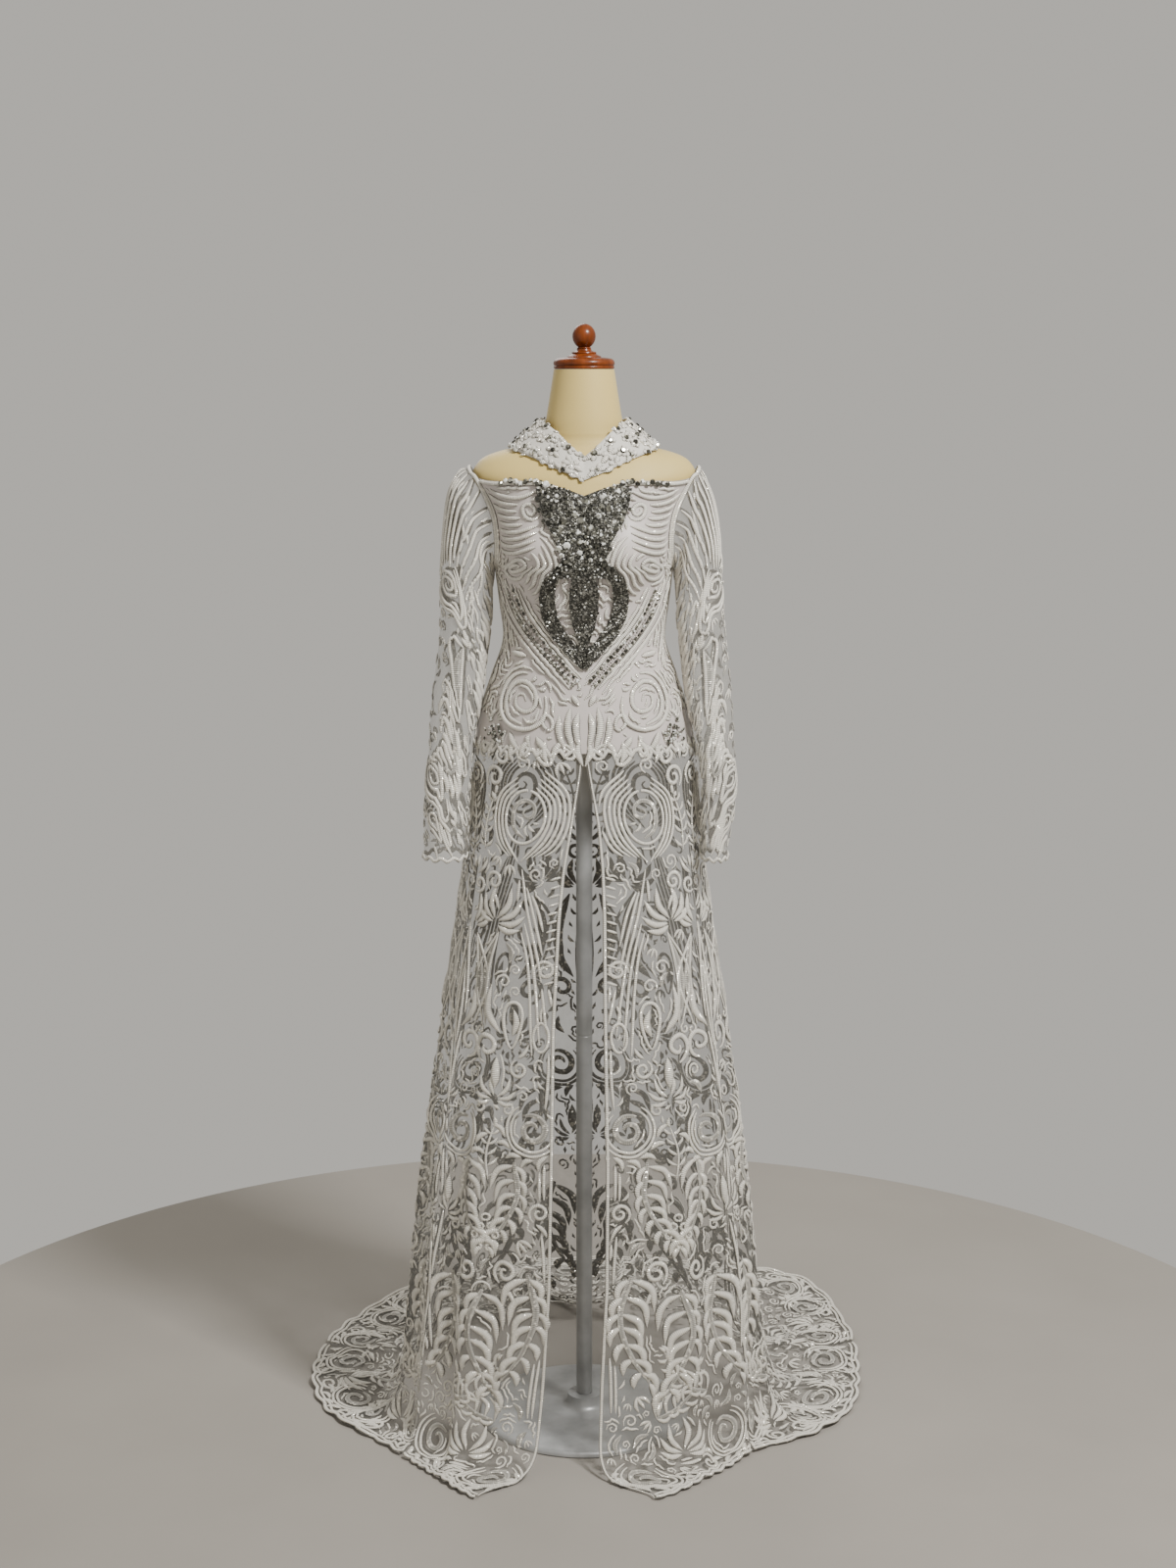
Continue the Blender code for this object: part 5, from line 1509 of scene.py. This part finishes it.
def build_bodice():
    """The lined bodice: satin lining, dense corded lace and bead clusters."""
    satin = satin_material()
    beads = []
    for part, side in (("front_left", -1), ("front_right", 1), ("back_left", -1), ("back_right", 1)):
        front, hand = part.startswith("front"), part.split("_")[1]
        middle = 0 if front else 180 * side
        cloth = bodice_cloth(middle, 90 * side)
        lining = new_piece("bodice_lining_" + part, cloth.mesh(), satin, ("bodice_" + part,))
        pen = Pen(bodice_cloth(middle, 90 * side, over_seam=True), sizes().bodice_cord, sizes().lace_lift)
        draw_bodice(pen, front)
        seed = 11 + side + 5 * front
        low = float(cloth.down[-1].min()) - 0.004
        echo_cords(pen, 4000, seed, pen.cord * 0.80, 0.0013, 0.045, high=low)
        curls_between(pen, 1500, seed + 2, pen.cord * 0.85, 0.026, closest=1.5, fattest=1.5, high=low)
        curls_between(pen, 3000, seed + 3, pen.cord * 0.55, 0.018, high=low)
        scrolls = ("hip_scroll_" + hand, "bust_scroll_" + hand) if front else ("hip_scroll_back_" + hand,)
        lace = lace_piece("bodice_lace_" + part, pen.strokes, replaces=scrolls)
        if not front:
            continue
        chance = np.random.default_rng(5)
        for _ in range(44):
            x, z = 0.132 + chance.normal(0, 0.007), max(HIP_SEAM_HEIGHT + 0.005, 1.102 + chance.normal(0, 0.008))
            beads.append((*on_bodice(x * side, z, 0.0040), chance.uniform(0.0020, 0.0032)))
    stones_piece("bodice_beads", beads, 31)


def gore_cloth(side, start, end):
    """The fine surface of one gore, from the hip seam to the scalloped hem."""
    last = len(SKIRT_ROWS) - 1
    rows = np.concatenate([np.linspace(0.02, 12, 84), np.linspace(12.1, last, 60)])
    shares = np.linspace(0, 1, 61)
    grid = []
    for row in rows:
        low = slit_angle(row, side) if start is None else start * side
        angles = low + (end * side - low) * shares
        scallop = 0.006 * np.abs(np.sin(shares * math.pi * 9)) * ease((row - last + 0.6) / 0.6)
        grid.append(skirt_point(angles, np.full(len(shares), row), SKIRT_LIFT, scallop))
    return Cloth(np.array(grid))


def build_overskirt():
    """Six sheer gores with their corded lace, slit edges and scalloped border."""
    net = tulle_material("skirt_tulle", 0.22, 0.50)
    for side, name in ((-1, "left"), (1, "right")):
        for number, (part, start, end) in enumerate(GORES):
            cloth = gore_cloth(side, start, end)
            node = f"skirt_{part}_{name}"
            tulle = new_piece("tulle_" + node, cloth.mesh(), net, (node,))
            pen = Pen(cloth, sizes().skirt_cord, sizes().lace_lift)
            level_cords(pen, (0.0040,), width=0.0034)
            level_cords(pen, (0.0120,), wave=0.0012)
            if start is None:
                edge_cords(pen, (0.0032,), width=0.0027, start=0.01)
                for rung in range(14, 27):
                    down = 0.013 * rung
                    reach = float(cloth.width_at(cloth.row(np.array([0.0]), np.array([down]))[0]))
                    pen.lay(np.linspace(0.006, 0.0200, 5) / reach, down + np.linspace(0, 0.005, 5), pen.cord * 0.8)
            draw_motifs(pen, GORE_LACE)
            draw_motifs(pen, BORDER_LACE, from_hem=True)
            hem = float(cloth.down[-1].mean())
            border = hem - 0.16
            seed = 100 + 10 * number + side
            trials = sizes().filling
            vine(pen, 0.06, 0.20, hem - 0.14, 0.005, 0.35)
            vine(pen, 0.985, 0.16, hem - 0.20, 0.006, 0.30)
            small_motifs(pen, trials // 8, seed, (0.015, 0.013, 0.0115, 0.010), high=border)
            small_motifs(pen, trials // 6, seed + 1, (0.014, 0.011, 0.009, 0.0075), low=border)
            echo_cords(pen, trials // 5, seed + 2, pen.cord * 0.75, 0.0022, 0.030, low=0.05, high=border)
            echo_cords(pen, trials // 3, seed + 3, pen.cord * 0.80, 0.0016, 0.030, low=border)
            lace = lace_piece("lace_" + node, pen.strokes)


def sleeve_cloth(side):
    """The fine surface of one sleeve, from the armhole to the scalloped cuff."""
    rising = [(float(armhole(height)), height) for height, _ in ARMHOLE_EDGE[:-1]]
    corner = float(smooth(NECKLINE, 90 - armhole(SHOULDER_FOOT)))
    rising.append((float(armhole(SHOULDER_FOOT)), corner))
    rising += [(from_side, corner + rise) for from_side, rise in SHOULDER_ARC]
    front, back = [(90 - a, z) for a, z in rising], [(90 + a, z) for a, z in rising[:0:-1]]
    angles, tops = np.array([*front, (90.0, float(smooth(NECKLINE, 90.0))), *back]).T
    edge = off_form(angles, tops, BODICE_OUTSIDE + 0.0012)
    count = 72
    keys = np.arange(len(edge) + 1, dtype=float)
    wrapped = np.concatenate([edge[-3:], edge, edge[:4]])
    long_keys = np.arange(-3, len(edge) + 4, dtype=float)
    ring0 = smooth_through(long_keys, wrapped, np.linspace(0, keys[-1], count, endpoint=False))
    turn = np.arange(count) * 2 * math.pi / count
    rings = [ring0]
    for inner_x, inner_z, left_x, right_x, outer_z, centre_y, half_depth in SLEEVE_RINGS:
        near = np.array([inner_x, centre_y, inner_z])
        far = np.array([left_x if side < 0 else right_x, centre_y, outer_z])
        half = (far - near) / 2
        half *= 1 - 0.0006 / np.linalg.norm(half)
        depth = np.array([0.0, -(half_depth - 0.0006), 0.0])
        rings.append((near + far) / 2 - np.cos(turn)[:, None] * half + np.sin(turn)[:, None] * depth)
    rings = np.array(rings)
    keys = np.arange(len(rings), dtype=float)
    at = np.concatenate([np.linspace(0, 1, 7)[:-1], np.linspace(1, len(rings) - 1, 96)])
    grid = smooth_through(keys, rings, at)
    share = (at / at[-1])[:, None]
    middle = grid.mean(axis=1, keepdims=True)
    wave = np.sin(3 * turn[None, :] + 17 * share) * 0.5 + np.sin(2 * turn[None, :] - 29 * share + 1.0) * 0.5
    depth = 0.0016 * ease((share - 0.04) / 0.12) * wave
    grid += unit(grid - middle) * depth[..., None]
    ripple = np.where(np.arange(len(at)) > len(at) - 4, 1.0, 0.0)[:, None] * 0.0032 * np.cos(turn * 11)[None, :]
    grid[..., 2] += ripple
    grid[..., 0] *= side
    cloth = Cloth(grid, centre=None, round_tube=True)
    outward = np.sum(cloth.normals * (grid - grid.mean(axis=1, keepdims=True)), axis=-1).mean()
    if outward < 0:
        cloth.normals = -cloth.normals
    return cloth


def draw_sleeve(pen, half):
    """The lace of a sleeve's front half (1), or its back half (-1)."""

    def around(share):
        return share if half > 0 else 1 - share

    for motif, share, down, size, turn, flip in SLEEVE_LACE:
        pen.move(around(share), down, turn * half, flip * half)
        MOTIFS[motif](pen, size)
    for number in range(10):
        low = 0.150 + 0.036 * number
        path = through((
            (low, 0.0), (low + 0.01, 0.05), (0.10 + low * 0.78, 0.11), (0.17 + low * 0.55, 0.155),
        ), step=0.006)
        pen.lay(around(path[:, 0]), path[:, 1] + 0.002, over=False)
    for number in range(13):
        pen.move(around(0.09), 0.048 + 0.0150 * number, 62 * half, half)
        leaf_stroke(pen, (0, -0.0145), (0, 0.0145), 0.0062, bend=0.20, over=False)


def build_sleeves():
    """Two sheer sleeves with cords that flow from the shoulder to the cuff."""
    net = tulle_material("sleeve_tulle", 0.24, 0.80)
    for side, name in ((-1, "left"), (1, "right")):
        cloth = sleeve_cloth(side)
        tulle = new_piece("tulle_sleeve_" + name, cloth.mesh(), net, ("sleeve_" + name,))
        pen = Pen(cloth, sizes().bodice_cord * 0.90, sizes().lace_lift)
        level_cords(pen, (0.0036,))
        level_cords(pen, (0.0025,), from_end=False)
        for half in (1, -1):
            draw_sleeve(pen, half)
        seed = 211 + side
        echo_cords(pen, 3000, seed, pen.cord * 0.80, 0.0013, 0.045, high=0.20)
        small_motifs(pen, 900, seed + 1, (0.010, 0.0085), low=0.19)
        curls_between(pen, 900, seed + 2, pen.cord * 0.60, 0.018, high=0.22, closest=1.4)
        lace = lace_piece("lace_sleeve_" + name, pen.strokes)


def build_collar():
    """The lace collar: a band with raised flowers that reach past its edges, and grey stones."""
    angles = np.linspace(-176, 176, 265)
    sides, away = np.where(angles < 0, -1.0, 1.0), np.abs(angles)
    low_heights = smooth(COLLAR_LOWER, away)
    lower = off_form(angles, low_heights, 0.0012)
    x, y, z = (smooth(COLLAR_UPPER, away, name) for name in (1, 2, 3))
    upper = np.stack([x * sides, y, z], -1)
    slope = unit(upper - lower)
    facing = unit(np.cross(np.gradient(lower + upper, axis=0), slope))
    if np.mean(np.sum(facing[:, :2] * lower[:, :2], axis=1)) < 0:
        facing = -facing
    shares = np.linspace(0, 1, 11)
    grid = np.array([
        upper * (1 - s) + lower * s + facing * (0.0010 + 0.0008 * math.sin(math.pi * s)) for s in shares
    ])
    normals = Cloth(grid).normals
    outer = grid + normals * 0.0010
    inner = grid - normals * 0.0002
    mesh = tube_mesh(np.concatenate([outer, inner[::-1]]).swapaxes(0, 1))
    turn_outwards(mesh)
    new_piece("collar_band", mesh, tulle_material("collar_net", 1.3), ("collar",))
    drop = 0.0008 + 0.0024 * np.abs(np.cos(np.radians(angles))) ** 1.5
    past_low = off_form(angles, low_heights - drop, 0.0030)
    past_top = upper + slope * 0.0036 + facing * 0.0014
    cloth = Cloth(np.concatenate([past_top[None], outer, past_low[None]]))
    pen = Pen(cloth, 0.0020, 0.0002)
    stones = []
    chance = np.random.default_rng(61)
    for _ in range(6000):
        share, down, across, _ = random_spot(pen, chance, 0.004, 9.0)
        reach = chance.uniform(0.0080, 0.0112)
        if pen.room_at(across, down) < reach * 0.43:
            continue
        pen.move(share, down, chance.uniform(0, 72))
        for petal in range(5):
            out = way(72 * petal) * reach
            leaf_stroke(pen, out * 0.10, out, reach * 0.46, bend=0.0)
        if chance.random() < 0.75:
            place, normal = cloth.place(np.array([share]), cloth.row(np.array([share]), np.array([down])), 0.0026)
            stones.append((place[0], normal[0], chance.uniform(0.0036, 0.0047)))
    echo_cords(pen, 1800, 63, 0.0017, 0.0004, 0.020)
    curls_between(pen, 1200, 64, 0.0016, 0.010, closest=1.0)
    lace_piece("collar_lace", pen.strokes)
    stones_piece("collar_stones", stones, 67)


def turn_outwards(mesh):
    """Turns a closed mesh's faces outwards when they point in."""
    mesh.calc_loop_triangles()
    total = 0.0
    for triangle in mesh.loop_triangles:
        a, b, c = (mesh.vertices[index].co for index in triangle.vertices)
        total += a.dot(b.cross(c))
    if total < 0:
        mesh.flip_normals()


def on_bodice(x, height, above):
    """A spot on the bodice seen at x from the front, and its outward direction."""
    angle = seen_angle(x, height)
    place = off_form(angle, height, BODICE_OUTSIDE + above)
    return place, unit(off_form(angle, height, BODICE_OUTSIDE + above + 0.001) - place)


def scatter(inside, box, radius, seed, trials, closest, taken):
    """Spots inside a shape that keep their distance from each other and from those already taken."""
    chance = np.random.default_rng(seed)
    count = len(taken)
    spots = np.zeros((trials + count, 3))
    spots[:count] = taken
    for _ in range(trials):
        x, z = chance.uniform(box[0], box[1]), chance.uniform(box[2], box[3])
        size = radius(x, z, chance)
        if size <= 0 or not inside(x, z):
            continue
        near = spots[:count]
        if count and np.min(np.hypot(near[:, 0] - x, near[:, 1] - z) - (near[:, 2] + size) * closest) < 0:
            continue
        spots[count] = (x, z, size)
        count += 1
    return spots[:count]


def build_plastron():
    """Stones of the plastron, the two bands and the neckline, on a dark beaded net."""
    heights, outer, inner = np.array([row[:3] for row in PLASTRON_ROWS])[::-1].T
    windowed = [row[0] for row in PLASTRON_ROWS if row[3]]
    top, bottom = max(windowed), min(windowed) - 0.013

    def neckline(x):
        return float(smooth(NECKLINE, abs(float(seen_angle(x, 1.455))))) - 0.002

    def inside(x, z):
        if z > neckline(x):
            return False
        reach, gap = np.interp(z, heights, outer), np.interp(z, heights, inner)
        reach += 0.0030 * math.sin(z * 330.0) * float(z > 1.37)
        if abs(x) > reach:
            return False
        if bottom < z < top and abs(x) < gap:
            wave = 0.30 + 0.22 * abs(math.sin((z - bottom) * 95))
            return abs(x) < gap * wave and z > bottom + 0.012
        return True

    def large(x, z, chance):
        return (0.0030 + 0.0029 * chance.random() ** 1.5) * float(z > 1.366 - 0.35 * abs(x))

    def middling(_x, _z, chance):
        return 0.0017 + 0.0007 * chance.random()

    def small(_x, _z, _chance):
        return 0.0012

    taken = np.zeros((0, 3))
    for radius, seed, closest in ((large, 71, 0.98), (middling, 72, 1.0), (small, 73, 1.15)):
        taken = scatter(inside, (-0.070, 0.070, 1.200, 1.475), radius, seed, 9000, closest, taken)
    spots = []
    for x, z, size in taken:
        face = 0.0042 + 0.0017 * float(ease((z - 1.325) / 0.03))
        spots.append((*on_bodice(x, z, face + size * 0.10), size))
    stones_piece("plastron_stones", spots, 79)
    ground = frame["nodes"]["plastron"].data
    ground.materials.clear()
    ground.materials.append(beaded_material())
    keys = np.linspace(0, 1, len(STONE_BAND))
    at = np.linspace(0.01, 0.99, 23)
    xs, zs = (np.interp(at, keys, values) for values in zip(*STONE_BAND))
    for side, name in ((-1, "left"), (1, "right")):
        chance = np.random.default_rng(83)
        band = []
        for x, z in zip(xs, zs):
            for row in (-1, 0, 1):
                shift = row * 0.0052
                place, up = on_bodice((x + shift * 0.72) * side, z - shift * 0.66, 0.0030 if row else 0.0034)
                size = chance.uniform(0.0027, 0.0034) if row else chance.uniform(0.0012, 0.0016)
                band.append((place, up, size))
        stones_piece("stone_band_" + name + "_set", band, 89 + side, ("stone_band_" + name,))
    edge = []
    chance = np.random.default_rng(97)
    for side in (-1, 1):
        for x in np.arange(0.056, 0.124, 0.0072):
            z = float(smooth(NECKLINE, float(seen_angle(x, 1.472)))) - chance.uniform(0.000, 0.005)
            edge.append((*on_bodice(x * side, z, 0.0040), chance.uniform(0.0034, 0.0050)))
    stones_piece("neckline_stones", edge, 101)


def build_stage():
    """A pale floor, soft studio light and the photograph's camera."""
    stage = put("floor", turned_mesh(((1.25, -0.005), (1.25, -0.0004)), 128))
    m = Shading("pale_floor")
    m.set(Base_Color=m.toned(m.noise(3.0, 4.0), colours().floor, (0.3, 0.96), (0.7, 1.04)), Roughness=0.85)
    stage.data.materials.append(m.material)
    world = bpy.data.worlds.new("studio")
    bpy.context.scene.world = world
    world.use_nodes = True
    background = world.node_tree.nodes["Background"]
    background.inputs["Color"].default_value = (*colours().wall, 1.0)
    background.inputs["Strength"].default_value = 0.92
    for name, place, aim, size, power in (
        ("key", (1.7, -1.9, 3.8), (0.0, 0.0, 0.9), 0.6, 225.0),
        ("fill", (-2.8, -2.4, 1.6), (0.0, 0.0, 0.9), 2.4, 8.0),
        ("rim", (-0.8, 2.6, 3.0), (0.0, 0.0, 0.8), 1.6, 26.0),
    ):
        light = bpy.data.lights.new(name, "AREA")
        light.size = size
        light.energy = power
        lamp = put(name, light)
        lamp.location = place
        x, y, z = np.array(aim) - np.array(place)
        lamp.rotation_euler = (math.atan2(math.hypot(x, y), -z), 0.0, math.atan2(-x, y))
    camera = bpy.data.cameras.new("camera")
    camera.lens = CAMERA_LENS
    camera.sensor_width = CAMERA_SENSOR
    eye = put("camera", camera)
    eye.location = CAMERA_PLACE
    eye.rotation_euler = (math.radians(CAMERA_TILT), 0.0, 0.0)
    bpy.context.scene.camera = eye


# ---- Operators, panel and registration


def operator(name, label, doc, work):
    """An operator class that runs one building function."""

    def execute(self, context):
        work()
        return {"FINISHED"}

    body = {
        "bl_idname": "gown." + name, "bl_label": label, "bl_options": {"REGISTER", "UNDO"}, "__doc__": doc,
        "execute": execute,
    }
    return type("GOWN_OT_" + name, (bpy.types.Operator,), body)


OPERATORS = (
    operator("form", "Form and stand", "Build the covered form, its cap and its stand", build_form),
    operator("bodice", "Bodice", "Build the lined bodice with its lace", build_bodice),
    operator("sleeves", "Sleeves", "Build the two sheer sleeves", build_sleeves),
    operator("overskirt", "Overskirt", "Build the six gores and their lace", build_overskirt),
    operator("collar", "Collar", "Build the lace collar", build_collar),
    operator("plastron", "Stones", "Set the plastron, the bands and the neckline stones", build_plastron),
    operator("stage", "Stage", "Build the floor, the lights and the camera", build_stage),
)


class GOWN_PT_panel(bpy.types.Panel):
    """Lists the steps that dress the form"""

    bl_label = "Lace kebaya"
    bl_space_type = "VIEW_3D"
    bl_region_type = "UI"
    bl_category = "Kebaya"

    def draw(self, context):
        for step in OPERATORS:
            self.layout.operator(step.bl_idname)
        for group in (context.scene.gown_sizes, context.scene.gown_colours):
            for key in group.__annotations__:
                self.layout.prop(group, key)


CLASSES = (GownSizes, GownColours, *OPERATORS, GOWN_PT_panel)


def register():
    for kind in CLASSES:
        bpy.utils.register_class(kind)
    bpy.types.Scene.gown_sizes = PointerProperty(type=GownSizes)
    bpy.types.Scene.gown_colours = PointerProperty(type=GownColours)


def unregister():
    del bpy.types.Scene.gown_colours
    del bpy.types.Scene.gown_sizes
    for kind in reversed(CLASSES):
        bpy.utils.unregister_class(kind)


def main():
    register()
    for step in OPERATORS:
        getattr(bpy.ops.gown, step.bl_idname.split(".")[1])()


if __name__ == "__main__":
    main()
